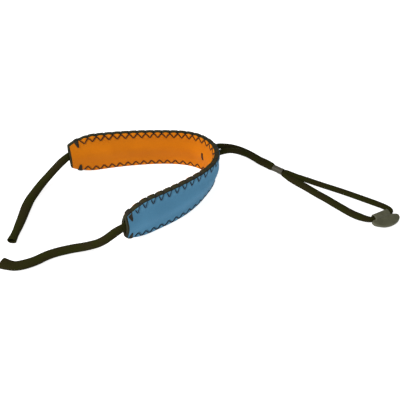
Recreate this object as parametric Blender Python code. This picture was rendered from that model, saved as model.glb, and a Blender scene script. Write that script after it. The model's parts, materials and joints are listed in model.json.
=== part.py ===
"""Sport eyewear retainer strap: a padded band bent into a U, with one knitted cord run through it.

The band stands on its bottom edge on the plane z = 0 and opens towards -X, where the eyewear is.
Left and right are the wearer's, so the right limb is at +Y. The origin is the middle of the band's
box, on the ground. Lengths are written in millimetres and turned into metres where points are made.
"""

import bmesh
import bpy
import numpy as np
from mathutils import Matrix, Vector
from mathutils.geometry import interpolate_bezier

MM = 0.001

# The band, as it is cut and sewn
BAND_LENGTH = 195.0
BAND_HEIGHT = 32.0
END_HEIGHT = 18.5
END_TAPER = 19.0
STITCH_PITCH = 5.65
STITCH_COUNT = 33
STITCH_DEPTH = 4.7

# Its layers, counted outwards from the middle surface
FIT_GAP = 0.3
CHANNEL_HALF = 1.5
CHANNEL_REACH = 9.5
FOAM_THICK = 1.3
FOAM_SEWN = 0.8
FOAM_EASE = 6.0
KNIT_THICK = 0.5
KNIT_HEM = 0.3
EDGE_SLOPE = 0.38
END_SLOPE_SHARE = 0.4
SLOPE_EASE = 8.0

# How the band stands: heading of its centreline in plan, and how far it flares per unit of height,
# each at distances along the band from its right end
PLAN_HEADINGS = (
    (0, 26.6), (9, 15.0), (27, 10.7), (62, 1.4), (80, -6.2), (98, -46.1),
    (114, -99.0), (130, -124.3), (148, -137.9), (167, -146.4), (184, -146.0), (195, -134.2),
)
PLAN_FLARE = ((0, -0.01), (67, -0.15), (102, -0.08), (122, 0.26), (152, 0.10), (195, 0.09))
PLAN_EASE = 9.0
PLAN_MIDDLE = Vector((42.89, 30.59, 0.0))
PLAN_STEP = 0.5

# Cord
TAIL_RADIUS = 2.6
TAIL_MOUTH_RADIUS = 1.9
TAIL_GAP = 0.9
TAIL_SPACING = 4.4
LOOP_RADIUS = 2.05
LOOP_SPACING = 4.4
PINCHED_RADIUS = 0.7
HELD_HALF_WIDTH = 3.4
HELD_HALF_THICK = 1.0
EXIT_HALF_SPACING = 3.6
EXIT_HOLE_RADIUS = 2.35
EXIT_DEPTH = 0.8
EXIT_LEAD = 3.0

# Slider
SLIDER_PLACE = Vector((93.79, 30.29, 2.6))
SLIDER_HEADING = -37.5
SLIDER_LENGTH = 8.0
SLIDER_RADIUS = 2.25
SLIDER_BORE = 1.68
SLIDER_TRAVEL = (-8.0, 12.0)
PINCHED_SPACING = 0.82

# Pull tab
TAB_PLACE = Vector((155.59, -17.81, 3.1))
TAB_HEADING = 28.0
TAB_TILT = 8.0
TAB_HALF_WIDTH = 10.2
TAB_WING_SHIFT = 1.0
TAB_DEPTH = 9.7
TAB_CHORD = 2.5
TAB_THICK = 2.2
TAB_SLEEVE_RADIUS = 2.8
TAB_SLEEVE_LENGTH = 11.0
TAB_BORE = 1.75
TAB_CORD_RADIUS = 1.45

# Routes of the free cord, each from the band outwards
RIGHT_TAIL_ROUTE = (
    (-56.2, 25.1, 13.6), (-60.4, 22.3, 10.6), (-64.0, 19.1, 7.9), (-67.4, 15.3, 5.7), (-70.2, 10.8, 4.2),
    (-72.4, 5.6, 3.3), (-74.3, -0.1, 2.9), (-75.3, -6.0, 2.8), (-75.8, -11.9, 2.8), (-76.1, -17.6, 2.8),
    (-76.5, -23.3, 2.8), (-77.0, -28.8, 2.8), (-77.6, -34.2, 2.8), (-78.1, -39.7, 2.8),
)
LEFT_TAIL_ROUTE = (
    (-11.8, -44.3, 14.6), (-15.5, -45.8, 12.6), (-19.2, -46.8, 10.2), (-23.1, -46.9, 7.9), (-27.0, -46.4, 5.9),
    (-30.9, -46.2, 4.5), (-34.6, -46.2, 3.6), (-38.3, -46.5, 3.1), (-41.9, -47.3, 2.9), (-45.4, -48.3, 2.8),
    (-48.9, -49.6, 2.8), (-52.2, -51.1, 2.8), (-55.5, -53.1, 2.8), (-58.7, -55.5, 2.8), (-61.9, -57.4, 2.8),
    (-65.2, -58.9, 2.8), (-68.6, -60.0, 2.8), (-72.0, -60.5, 2.8), (-75.7, -59.9, 2.8), (-79.8, -58.6, 2.8),
)
RIGHT_STRAND_TO_SLIDER = (
    (51.4, 39.5, 16.3), (55.6, 40.1, 15.9), (59.9, 41.3, 14.6), (64.3, 42.7, 12.4), (68.7, 43.8, 9.8),
    (73.1, 44.1, 7.2), (77.5, 43.2, 5.0), (81.7, 41.0, 3.6),
)
LEFT_STRAND_TO_SLIDER = (
    (51.3, 32.3, 15.9), (55.5, 33.9, 16.2), (59.7, 35.4, 15.8), (64.0, 36.8, 14.2), (68.3, 38.0, 11.8),
    (72.7, 38.8, 9.2), (77.1, 38.4, 6.6), (81.2, 37.2, 4.3),
)
RIGHT_STRAND_TO_TAB = (
    (113.5, 19.5, 2.3), (117.3, 17.3, 2.3), (121.1, 15.2, 2.3), (124.9, 13.1, 2.3), (128.7, 11.1, 2.3),
    (136.2, 7.0, 2.3), (143.5, 2.7, 2.3), (150.7, -1.6, 2.3), (154.6, -4.1, 2.4), (158.6, -6.9, 2.6),
    (161.8, -9.9, 2.9), (163.0, -12.9, 3.1),
)
LEFT_STRAND_TO_TAB = (
    (110.6, 12.0, 2.3), (115.9, 6.6, 2.3), (119.4, 3.1, 2.3), (123.0, -0.2, 2.3), (126.4, -3.8, 2.3),
    (133.2, -10.7, 2.3), (136.5, -13.9, 2.3), (139.9, -16.7, 2.4), (143.4, -18.9, 2.6), (147.1, -20.5, 2.9),
)

# Colours, roughness and metallic value
ORANGE_KNIT = ((0.55, 0.14, 0.006, 1.0), 0.85, 0.0)
BLUE_KNIT = ((0.07, 0.18, 0.29, 1.0), 0.85, 0.0)
DARK_FOAM = ((0.03, 0.03, 0.018, 1.0), 0.95, 0.0)
DARK_THREAD = ((0.05, 0.018, 0.012, 1.0), 0.7, 0.0)
NAVY_THREAD = ((0.012, 0.03, 0.06, 1.0), 0.7, 0.0)
CORD_KNIT = ((0.028, 0.026, 0.012, 1.0), 0.9, 0.0)
SLIDER_VINYL = ((0.12, 0.10, 0.07, 1.0), 0.35, 0.0)
TAB_RUBBER = ((0.10, 0.10, 0.06, 1.0), 0.6, 0.0)


def remove_all_objects():
    for old in list(bpy.data.objects):
        bpy.data.objects.remove(old, do_unlink=True)


def make_material(name, look):
    colour, roughness, metallic = look
    material = bpy.data.materials.new(name)
    material.use_nodes = True
    shader = material.node_tree.nodes["Principled BSDF"]
    shader.inputs["Base Color"].default_value = colour
    shader.inputs["Roughness"].default_value = roughness
    shader.inputs["Metallic"].default_value = metallic
    material.diffuse_color = colour
    return material


def add_object(name, data, look):
    data.materials.append(make_material(name + "_finish", look))
    made = bpy.data.objects.new(name, data)
    bpy.context.scene.collection.objects.link(made)
    return made


def mesh_from(bm, name):
    bmesh.ops.recalc_face_normals(bm, faces=bm.faces)
    mesh = bpy.data.meshes.new(name)
    bm.to_mesh(mesh)
    bm.free()
    return mesh


# ---------------------------------------------------------------- the band's middle surface


def eased(distance, pairs):
    """Value at a distance along the band: straight between the pairs, averaged so that corners are eased."""
    places, values = np.array(pairs, float).T
    window = np.linspace(-PLAN_EASE, PLAN_EASE, 19)
    return float(np.mean(np.interp(distance + window, places, values)))


def plan_curve():
    """Distances along the band and the plan point at each, walked heading by heading."""
    distances = np.arange(0.0, BAND_LENGTH + PLAN_STEP / 2, PLAN_STEP)
    headings = np.radians([eased(d, PLAN_HEADINGS) for d in distances])
    between = (headings[1:] + headings[:-1]) / 2
    x = np.concatenate([[0.0], np.cumsum(np.cos(between)) * PLAN_STEP])
    y = np.concatenate([[0.0], np.cumsum(np.sin(between)) * PLAN_STEP])
    middle = len(distances) // 2
    return distances, x - x[middle] + PLAN_MIDDLE.x, y - y[middle] + PLAN_MIDDLE.y


PLAN = plan_curve()


def band_axes(along):
    """The plan point, the direction of travel and the outward direction at a distance along the band."""
    distances, x, y = PLAN
    heading = np.radians(eased(along, PLAN_HEADINGS))
    point = Vector((np.interp(along, distances, x), np.interp(along, distances, y), 0.0))
    travel = Vector((np.cos(heading), np.sin(heading), 0.0))
    outward = Vector((-travel.y, travel.x, 0.0))
    return point, travel, outward


def band_point(along, height, out):
    """A point of the band: distance along it, height over the ground, and offset out of its middle surface."""
    point, _, outward = band_axes(along)
    flare = eased(along, PLAN_FLARE) * (height - BAND_HEIGHT / 2)
    return (point + outward * (out + flare) + Vector((0, 0, height))) * MM


def half_height(along):
    """Half the band's height: full along its length and drawn in by a round taper at both ends."""
    from_end = min(along, BAND_LENGTH - along)
    share = min(max(from_end / END_TAPER, 0.0), 1.0)
    end, full = END_HEIGHT / 2, BAND_HEIGHT / 2
    return end + (full - end) * np.sin(share * np.pi / 2) ** 0.8


def layer_offsets(from_edge, from_middle):
    """Offsets of the channel wall, the foam's outer face, the knit's inner face and the knit's outer face."""
    bump = (1 + np.cos(np.pi * min(from_middle / CHANNEL_REACH, 1.0))) / 2
    wall = FIT_GAP / 2 + (CHANNEL_HALF - FIT_GAP / 2) * bump
    ease = min(max(from_edge / FOAM_EASE, 0.0), 1.0)
    foam = FOAM_SEWN + (FOAM_THICK - FOAM_SEWN) * ease * ease * (3 - 2 * ease)
    return wall, wall + foam, wall + foam + FIT_GAP, wall + foam + FIT_GAP + KNIT_THICK


EDGE_OFFSETS = layer_offsets(0.0, BAND_HEIGHT / 2)
EDGE_HALF = EDGE_OFFSETS[-1]


def top_height(along, out):
    """Height of the top edge, which slopes down from the inner face to the outer one, less so at the ends."""
    from_end = max(min(along, BAND_LENGTH - along), 0.0)
    slope = EDGE_SLOPE * (END_SLOPE_SHARE + (1 - END_SLOPE_SHARE) * min(from_end / SLOPE_EASE, 1.0))
    return BAND_HEIGHT / 2 + half_height(along) - slope * (out + EDGE_HALF)


def face_point(along, depth, side, lift, at_top=True):
    """A point over the inner (side -1) or outer (side +1) face, a depth in from the top or bottom edge."""
    if at_top:
        height = top_height(along, side * EDGE_HALF) - depth
    else:
        height = BAND_HEIGHT / 2 - half_height(along) + depth
    from_middle = abs(height - BAND_HEIGHT / 2)
    offset = layer_offsets(half_height(along) - from_middle, from_middle)[3]
    return band_point(along, height, side * (offset + lift))


# ---------------------------------------------------------------- solids


def extruded_through(name, rings, look):
    """A closed solid from a row of rings: the first is capped, and the cap is extruded to each next ring."""
    bm = bmesh.new()
    first = cap = bm.faces.new([bm.verts.new(point) for point in rings[0]])
    for ring in rings[1:]:
        grown = bmesh.ops.extrude_face_region(bm, geom=[cap])["geom"]
        if cap is not first:
            bmesh.ops.delete(bm, geom=[cap], context="FACES_ONLY")
        cap = next(item for item in grown if isinstance(item, bmesh.types.BMFace))
        for corner, point in zip(cap.verts, ring):
            corner.co = point
    return add_object(name, mesh_from(bm, name), look)


LAYER_STATIONS = 40
LAYER_ROWS = 7
FOAM_INNER, FOAM_OUTER, KNIT_INNER, KNIT_OUTER = range(4)


def layer_ring(along, side, inner, outer):
    """Cross-section of one layer, up its inner wall and down its outer wall."""
    ring = []
    for which, rows in ((inner, range(LAYER_ROWS + 1)), (outer, range(LAYER_ROWS, -1, -1))):
        low = BAND_HEIGHT / 2 - half_height(along) + (KNIT_HEM if inner == KNIT_INNER else 0.0)
        high = top_height(along, side * EDGE_OFFSETS[which])
        for row in rows:
            share = row / LAYER_ROWS
            share = 0.5 * share + 0.25 * (1 - np.cos(np.pi * share))
            height = low + (high - low) * share
            from_middle = abs(height - BAND_HEIGHT / 2)
            offset = layer_offsets(half_height(along) - from_middle, from_middle)[which]
            ring.append(band_point(along, height, side * offset))
    return ring


def make_layer(name, side, inner, outer, look):
    stations = np.linspace(0.0, BAND_LENGTH, LAYER_STATIONS + 1)
    return extruded_through(name, [layer_ring(along, side, inner, outer) for along in stations], look)


def make_cutter(name, bm, place):
    """A helper solid that only cuts others."""
    cutter = bpy.data.objects.new(name, mesh_from(bm, name))
    cutter.matrix_world = place
    cutter.hide_render = True
    cutter.display_type = "WIRE"
    bpy.context.scene.collection.objects.link(cutter)
    return cutter


def cut(body, cutter):
    boolean = body.modifiers.new("cut_" + cutter.name, "BOOLEAN")
    boolean.operation = "DIFFERENCE"
    boolean.object = cutter


def placed(point, x_axis, z_axis):
    """The matrix that puts a shape at a point in metres, with its own X and Z along two directions."""
    y_axis = z_axis.cross(x_axis).normalized()
    turn = Matrix((x_axis, y_axis, z_axis)).transposed().to_4x4()
    return Matrix.Translation(point) @ turn


def exit_place(side):
    """The middle of a cord exit, on the band's middle surface, with Z pointing outwards. Side -1 is the right one."""
    along = BAND_LENGTH / 2 + side * EXIT_HALF_SPACING
    _, travel, outward = band_axes(along)
    return placed(band_point(along, BAND_HEIGHT / 2, 0.0), travel, outward)


def make_exit_cutter(name, side):
    bm = bmesh.new()
    hole_length = 12 * MM
    bmesh.ops.create_cone(
        bm, cap_ends=True, segments=16, radius1=EXIT_HOLE_RADIUS * MM, radius2=EXIT_HOLE_RADIUS * MM,
        depth=hole_length, matrix=Matrix.Translation((0, 0, hole_length / 2)),
    )
    return make_cutter(name, bm, exit_place(side))


TACK_BAR = Vector((1.1, 5.2, 9.2))


def centre_place():
    _, travel, outward = band_axes(BAND_LENGTH / 2)
    return placed(band_point(BAND_LENGTH / 2, BAND_HEIGHT / 2, 0.0), travel, outward)


def bar_mesh(size):
    bm = bmesh.new()
    bmesh.ops.create_cube(bm, size=1.0)
    bmesh.ops.scale(bm, vec=size * MM, verts=bm.verts)
    return bm


def make_band():
    inner_foam = make_layer("inner_foam", -1, FOAM_INNER, FOAM_OUTER, DARK_FOAM)
    outer_foam = make_layer("outer_foam", 1, FOAM_INNER, FOAM_OUTER, DARK_FOAM)
    inner_knit = make_layer("inner_face_knit", -1, KNIT_INNER, KNIT_OUTER, ORANGE_KNIT)
    outer_knit = make_layer("outer_face_knit", 1, KNIT_INNER, KNIT_OUTER, BLUE_KNIT)
    slot = make_cutter("tack_slot", bar_mesh(TACK_BAR + Vector((0.6, 0.6, 4.0))), centre_place())
    exits = [make_exit_cutter("right_exit_hole", -1), make_exit_cutter("left_exit_hole", 1)]
    for layer in (inner_foam, outer_foam, inner_knit, outer_knit):
        cut(layer, slot)
    for layer in (outer_foam, outer_knit):
        for hole in exits:
            cut(layer, hole)


def make_centre_tack():
    """The bar of stitches through the whole band between the two cord channels."""
    bm = bar_mesh(TACK_BAR)
    upright = [edge for edge in bm.edges if abs((edge.verts[0].co - edge.verts[1].co).z) > MM]
    bmesh.ops.bevel(bm, geom=upright, offset=0.35 * MM, segments=2, affect="EDGES", profile=0.5, material=-1)
    tack = add_object("centre_tack", mesh_from(bm, "centre_tack"), DARK_THREAD)
    tack.matrix_world = centre_place()


# ---------------------------------------------------------------- seams and tacks

THREAD_RADIUS = 0.28
THREAD_LIFT = 0.6
FIRST_STITCH = (BAND_LENGTH - STITCH_PITCH * STITCH_COUNT) / 2
OUTER_V_SHARE = 0.27
INNER_APEX_DEPTH = 0.7
OUTER_APEX_DEPTH = 0.4
BOTTOM_APEX_DEPTH = 0.75
OVER_EDGE = 1.0
CORNER_CLEAR = 0.25


def curve_tube(name, points, radii, look, sides_step):
    """A tube along points in metres: a bevelled curve with filled caps, whose radius may change on the way."""
    curve = bpy.data.curves.new(name, "CURVE")
    curve.dimensions = "3D"
    curve.twist_mode = "MINIMUM"
    curve.bevel_depth = MM
    curve.bevel_resolution = sides_step
    curve.use_fill_caps = True
    spline = curve.splines.new("POLY")
    spline.points.add(len(points) - 1)
    for target, point, radius in zip(spline.points, points, radii):
        target.co = (*point, 1.0)
        target.radius = radius
    return add_object(name, curve, look)


def laid_on_face(corners, side, at_top):
    """A thread's points on a face, from its corners given as distance along and depth, and each leg's middle."""
    points = [face_point(*corners[0], side, THREAD_LIFT, at_top)]
    for (along, depth), (next_along, next_depth) in zip(corners, corners[1:]):
        middle = face_point((along + next_along) / 2, (depth + next_depth) / 2, side, THREAD_LIFT, at_top)
        points += [middle, face_point(next_along, next_depth, side, THREAD_LIFT, at_top)]
    return points


def stitch_tips():
    """Distances along the band of the zigzag's tips, between the two end tacks."""
    return [FIRST_STITCH + STITCH_PITCH * stitch for stitch in range(1, STITCH_COUNT)]


def zigzag(at_top, side, apex, tip_depth):
    """A zigzag on one face, from tip to tip by way of an apex at the edge."""
    corners = []
    for tip in stitch_tips():
        corners += [(tip - STITCH_PITCH / 2, apex), (tip, tip_depth)]
    return laid_on_face(corners[1:], side, at_top)


def outer_top_stitches():
    """Narrow Vs on the outer face, joined by loops that lie over the top edge."""
    points = []
    shoulder = OUTER_V_SHARE * STITCH_PITCH
    tips = stitch_tips()
    for tip in tips:
        corners = [(tip - shoulder, OUTER_APEX_DEPTH), (tip, STITCH_DEPTH), (tip + shoulder, OUTER_APEX_DEPTH)]
        points += laid_on_face(corners, 1, True)
        if tip != tips[-1]:
            over = tip + STITCH_PITCH / 2
            bridge = (
                (tip + shoulder, EDGE_HALF + CORNER_CLEAR), (over, -OVER_EDGE),
                (tip + STITCH_PITCH - shoulder, EDGE_HALF + CORNER_CLEAR),
            )
            points += [band_point(at, top_height(at, out) + THREAD_LIFT, out) for at, out in bridge]
    return points


def make_seams():
    runs = {
        "top_seam_inner_thread": (zigzag(True, -1, INNER_APEX_DEPTH, STITCH_DEPTH), DARK_THREAD),
        "top_seam_outer_thread": (outer_top_stitches(), NAVY_THREAD),
        "bottom_seam_inner_thread": (zigzag(False, -1, BOTTOM_APEX_DEPTH, STITCH_DEPTH), DARK_THREAD),
        "bottom_seam_outer_thread": (zigzag(False, 1, BOTTOM_APEX_DEPTH, STITCH_DEPTH), NAVY_THREAD),
    }
    for name, (points, look) in runs.items():
        curve_tube(name, points, [THREAD_RADIUS] * len(points), look, 0)


TACK_DEPTH = 6.6
TACK_WIDE = 1.5
TACK_TIP = 0.6
TACK_THICK = 0.5
TACK_DEPTH_STEPS = (1.0, 0.66, 0.33, 0.0)


def tack_section(along, at_top, half_width, depth, side, lift):
    """One edge of a tack's ribbon: where it is on a face of the band."""
    return [face_point(along + turn * half_width, depth, side, lift, at_top) for turn in (-1, 1)]


def tack_rings(along, at_top):
    """Rings of a flat ribbon that goes up one face, over the edge and down the other."""
    low, high = FIT_GAP, FIT_GAP + TACK_THICK
    rings = []
    for side, shares in ((-1, TACK_DEPTH_STEPS), (1, TACK_DEPTH_STEPS[::-1])):
        for share in shares:
            half_width = TACK_WIDE + (TACK_TIP - TACK_WIDE) * share
            depth = TACK_DEPTH * share
            if share == 0.0:
                sign = 1 if at_top else -1
                under, over = [], []
                for lift, row in ((low, under), (high, over)):
                    for turn in (-1, 1):
                        at = along + turn * half_width
                        out = side * (EDGE_HALF + lift)
                        edge = top_height(at, out) if at_top else BAND_HEIGHT / 2 - half_height(at)
                        row.append(band_point(at, edge + sign * (lift + 0.1), out))
            else:
                under = tack_section(along, at_top, half_width, depth, side, low)
                over = tack_section(along, at_top, half_width, depth, side, high)
            rings.append([under[0], under[1], over[1], over[0]])
    return rings


def make_end_tacks():
    last_stitch = FIRST_STITCH + STITCH_PITCH * STITCH_COUNT
    for end, along in (("right", FIRST_STITCH), ("left", last_stitch)):
        for edge, at_top in (("top", True), ("bottom", False)):
            extruded_through(f"{end}_{edge}_tack", tack_rings(along, at_top), DARK_THREAD)


# ---------------------------------------------------------------- the cord


def smooth_path(route, spacing):
    """Points about a spacing apart on the smooth curve through the points of a route, all in metres."""
    knots = [Vector(point) for point in route]
    fine = [knots[0]]
    for i in range(len(knots) - 1):
        before = knots[max(i - 1, 0)]
        after = knots[min(i + 2, len(knots) - 1)]
        here, there = knots[i], knots[i + 1]
        span = (there - here).length
        leave = (there - before).normalized() * span / 3
        arrive = (after - here).normalized() * span / 3
        fine += interpolate_bezier(here, here + leave, there - arrive, there, 17)[1:]
    lengths = np.concatenate([[0.0], np.cumsum([(b - a).length for a, b in zip(fine, fine[1:])])])
    count = max(int(round(lengths[-1] / spacing)), 2)
    wanted = np.linspace(0.0, lengths[-1], count + 1)
    spread = [np.interp(wanted, lengths, [point[axis] for point in fine]) for axis in range(3)]
    return [Vector(point) for point in zip(*spread)]


def metres(route):
    return [Vector(point) * MM for point in route]


def make_tail(name, along, outwards, route):
    """A free end of the cord, from the band's end face down to the ground."""
    _, travel, _ = band_axes(along)
    mouth = band_point(along, BAND_HEIGHT / 2, 0.0) + travel * outwards * TAIL_GAP * MM
    path = smooth_path([mouth] + metres(route), TAIL_SPACING * MM)
    radii = [TAIL_MOUTH_RADIUS] + [TAIL_RADIUS] * (len(path) - 1)
    curve_tube(name, path, radii, CORD_KNIT, 2)


def make_held_stretch(name, start, stop):
    """The flattened cord in its channel, between the band's end and the cord's exit."""
    stations = np.linspace(start, stop, 24)
    turns = np.linspace(0.0, 2 * np.pi, 10, endpoint=False)
    rings = [
        [
            band_point(along, BAND_HEIGHT / 2 + HELD_HALF_WIDTH * np.sin(turn), HELD_HALF_THICK * np.cos(turn))
            for turn in turns
        ]
        for along in stations
    ]
    return extruded_through(name, rings, CORD_KNIT)


def slider_axes():
    heading = np.radians(SLIDER_HEADING)
    forward = Vector((np.cos(heading), np.sin(heading), 0.0))
    leftward = Vector((-forward.y, forward.x, 0.0))
    return forward, leftward


def tab_axis():
    heading = np.radians(TAB_HEADING)
    return Vector((np.cos(heading), np.sin(heading), 0.0))


PINCHED_MARGIN = SLIDER_LENGTH / 2 + 1.5


def loop_route():
    """Points of the loop from the right exit through the slider and the tab to the left exit, in metres."""
    forward, leftward = slider_axes()
    tab_along = tab_axis()
    points = []
    for side in (-1, 1):
        place = exit_place(side)
        leave = [place @ (Vector((0, 0, depth)) * MM) for depth in (-EXIT_DEPTH, EXIT_LEAD)]
        to_slider = metres(RIGHT_STRAND_TO_SLIDER if side == -1 else LEFT_STRAND_TO_SLIDER)
        to_tab = metres(RIGHT_STRAND_TO_TAB if side == -1 else LEFT_STRAND_TO_TAB)
        pinched = []
        for travel in (
            SLIDER_TRAVEL[0] - PINCHED_MARGIN, SLIDER_TRAVEL[0] / 2, 0.0,
            SLIDER_TRAVEL[1] / 2, SLIDER_TRAVEL[1] + PINCHED_MARGIN,
        ):
            at = SLIDER_PLACE + forward * travel - leftward * side * PINCHED_SPACING
            pinched.append(at * MM)
        sleeve = (TAB_PLACE - tab_along * side * TAB_SLEEVE_LENGTH / 2) * MM
        strand = leave + to_slider + pinched + to_tab + [sleeve]
        points += strand if side == -1 else strand[::-1]
    return points


def loop_radius(point):
    """The cord is pinched thin wherever the slider can reach, and in the tab's sleeve."""
    forward, _ = slider_axes()
    along = (point / MM - SLIDER_PLACE).dot(forward)
    beyond = max(SLIDER_TRAVEL[0] - PINCHED_MARGIN - along, along - SLIDER_TRAVEL[1] - PINCHED_MARGIN, 0.0)
    near_slider = PINCHED_RADIUS + (LOOP_RADIUS - PINCHED_RADIUS) * min(beyond / 9.0, 1.0)
    offset = point / MM - TAB_PLACE
    from_tab = max(offset.length - TAB_SLEEVE_LENGTH / 2, 0.0)
    near_tab = TAB_CORD_RADIUS + (LOOP_RADIUS - TAB_CORD_RADIUS) * min(from_tab / 5.0, 1.0)
    return min(near_slider, near_tab)


def make_cords():
    make_tail("right_tail_cord", 0.0, -1, RIGHT_TAIL_ROUTE)
    make_tail("left_tail_cord", BAND_LENGTH, 1, LEFT_TAIL_ROUTE)
    clear_of_exit = EXIT_HALF_SPACING + LOOP_RADIUS + FIT_GAP
    make_held_stretch("right_channel_cord", FIT_GAP, BAND_LENGTH / 2 - clear_of_exit)
    make_held_stretch("left_channel_cord", BAND_LENGTH / 2 + clear_of_exit, BAND_LENGTH - FIT_GAP)
    path = smooth_path(loop_route(), LOOP_SPACING * MM)
    curve_tube("loop_cord", path, [loop_radius(point) for point in path], CORD_KNIT, 2)


# ---------------------------------------------------------------- slider and pull tab


def ring_profile(bm, inner, outer, half_length, corner):
    """The cross-section of a turned sleeve, in the XZ plane, with its outer corners cut."""
    corners = (
        (outer, half_length - corner), (outer, corner - half_length), (outer - corner, -half_length),
        (inner, -half_length), (inner, half_length), (outer - corner, half_length),
    )
    verts = [bm.verts.new((x * MM, 0.0, z * MM)) for x, z in corners]
    return [bm.edges.new((a, b)) for a, b in zip(verts, verts[1:] + verts[:1])] + verts


def turned_sleeve(inner, outer, half_length, corner, segments):
    bm = bmesh.new()
    profile = ring_profile(bm, inner, outer, half_length, corner)
    bmesh.ops.spin(
        bm, geom=profile, cent=(0, 0, 0), axis=(0, 0, 1), angle=2 * np.pi, steps=segments, use_merge=True
    )
    return bm


def make_slider():
    forward, leftward = slider_axes()
    carrier = bpy.data.objects.new("slider_axis", None)
    carrier.matrix_world = placed(SLIDER_PLACE * MM, leftward, forward)
    bpy.context.scene.collection.objects.link(carrier)
    bm = turned_sleeve(SLIDER_BORE, SLIDER_RADIUS, SLIDER_LENGTH / 2, 0.2, 20)
    slider = add_object("slider", mesh_from(bm, "slider"), SLIDER_VINYL)
    slider.parent = carrier


def half_moon(bm):
    """The outline of the tab's plate: a straight chord and a flattened arc, drawn in the XY plane."""
    turns = np.linspace(0.0, np.pi, 19)
    depth = TAB_DEPTH - TAB_CHORD
    outline = []
    for turn in turns:
        across = TAB_WING_SHIFT + TAB_HALF_WIDTH * np.cos(turn)
        outline.append(Vector((across, -TAB_CHORD - depth * np.sin(turn) ** 0.85, -TAB_THICK / 2)) * MM)
    return bm.faces.new([bm.verts.new(point) for point in outline])


def make_pull_tab():
    """A half-moon plate and the sleeve that the cord runs through, moulded in one piece."""
    along = tab_axis()
    tilt = Matrix.Rotation(np.radians(TAB_TILT), 4, "X")
    upward = Vector((0, 0, 1))
    carrier = bpy.data.objects.new("pull_tab_hinge", None)
    carrier.matrix_world = placed(TAB_PLACE * MM, along, upward) @ tilt
    bpy.context.scene.collection.objects.link(carrier)
    bm = bmesh.new()
    face = half_moon(bm)
    grown = bmesh.ops.extrude_face_region(bm, geom=[face])["geom"]
    raised = [item for item in grown if isinstance(item, bmesh.types.BMVert)]
    bmesh.ops.translate(bm, verts=raised, vec=(0, 0, TAB_THICK * MM))
    rims = [edge for edge in bm.edges if abs((edge.verts[0].co - edge.verts[1].co).z) < 0.01 * MM]
    bmesh.ops.bevel(bm, geom=rims, offset=0.6 * MM, segments=2, affect="EDGES", profile=0.5, material=-1)
    tab = add_object("pull_tab", mesh_from(bm, "pull_tab"), TAB_RUBBER)
    tab.parent = carrier
    lying = Matrix.Rotation(np.pi / 2, 4, "Y")
    barrel = bmesh.new()
    bmesh.ops.create_cone(
        barrel, cap_ends=True, segments=24, radius1=TAB_SLEEVE_RADIUS * MM, radius2=TAB_SLEEVE_RADIUS * MM,
        depth=TAB_SLEEVE_LENGTH * MM,
    )
    barrel_shape = make_cutter("sleeve_shape", barrel, carrier.matrix_world @ lying)
    union = tab.modifiers.new("join_sleeve", "BOOLEAN")
    union.operation = "UNION"
    union.object = barrel_shape
    bore = bmesh.new()
    bmesh.ops.create_cone(
        bore, cap_ends=True, segments=16, radius1=TAB_BORE * MM, radius2=TAB_BORE * MM, depth=30 * MM
    )
    cut(tab, make_cutter("sleeve_bore", bore, carrier.matrix_world @ lying))


def shade_round_pieces():
    for made in bpy.context.scene.collection.objects:
        if made.type == "MESH" and not made.hide_render:
            made.data.shade_smooth()
            made.data.set_sharp_from_angle(angle=np.radians(35))


remove_all_objects()
make_band()
make_centre_tack()
make_seams()
make_end_tacks()
make_cords()
make_slider()
make_pull_tab()
shade_round_pieces()
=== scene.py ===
# %% [markdown]
# # A sport eyewear retainer strap
# A padded band rests on the back of the head. One knitted tube of cord runs through it: its two free
# ends are pushed over the temple tips of a pair of glasses, and its middle comes out of the back of the
# band as a loop, with a slider that tightens it and a rubber tab to pull on.
# The solids that fit and move are already made. This lesson gives each of them the look of the real
# thing: jersey laminated to foam, twisted thread, knitted cord, soft vinyl and moulded rubber.
# Everything is in metres.

# %% Load the fixed frame
import json

import bmesh
import bpy
import numpy as np
from mathutils import Matrix, Vector
from mathutils.geometry import interpolate_bezier


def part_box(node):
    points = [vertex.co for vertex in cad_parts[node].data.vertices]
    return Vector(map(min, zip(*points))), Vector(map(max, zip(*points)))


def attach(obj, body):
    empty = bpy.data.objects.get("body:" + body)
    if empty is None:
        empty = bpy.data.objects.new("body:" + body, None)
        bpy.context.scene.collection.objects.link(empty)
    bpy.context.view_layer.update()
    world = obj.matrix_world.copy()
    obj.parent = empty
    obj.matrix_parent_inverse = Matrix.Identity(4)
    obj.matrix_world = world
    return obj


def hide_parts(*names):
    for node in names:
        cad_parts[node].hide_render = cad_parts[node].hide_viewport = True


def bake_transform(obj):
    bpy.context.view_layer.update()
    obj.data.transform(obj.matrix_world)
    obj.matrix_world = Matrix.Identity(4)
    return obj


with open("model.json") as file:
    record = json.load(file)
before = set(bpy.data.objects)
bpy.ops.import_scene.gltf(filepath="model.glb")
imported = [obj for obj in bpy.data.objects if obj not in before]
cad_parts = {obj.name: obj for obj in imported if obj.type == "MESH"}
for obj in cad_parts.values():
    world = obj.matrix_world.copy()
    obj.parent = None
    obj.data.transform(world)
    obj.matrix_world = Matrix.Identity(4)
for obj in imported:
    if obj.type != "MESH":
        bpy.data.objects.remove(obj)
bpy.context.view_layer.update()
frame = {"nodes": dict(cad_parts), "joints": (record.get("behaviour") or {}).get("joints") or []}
MM = 0.001

# %% [markdown]
# ## Camera, floor and light
# The camera comes first, because every later choice of detail depends on what it sees. It stands on
# the strap's left side and looks down at it from a little over forty degrees. A narrow lens keeps the
# far limb nearly as large as the near one.

# %% Camera
CAMERA_TARGET = Vector((0.0388, -0.0019, 0.0027))
CAMERA_DISTANCE = 0.420
CAMERA_ELEVATION = np.radians(41.49)
CAMERA_LENS_MM = 56.8

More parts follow.
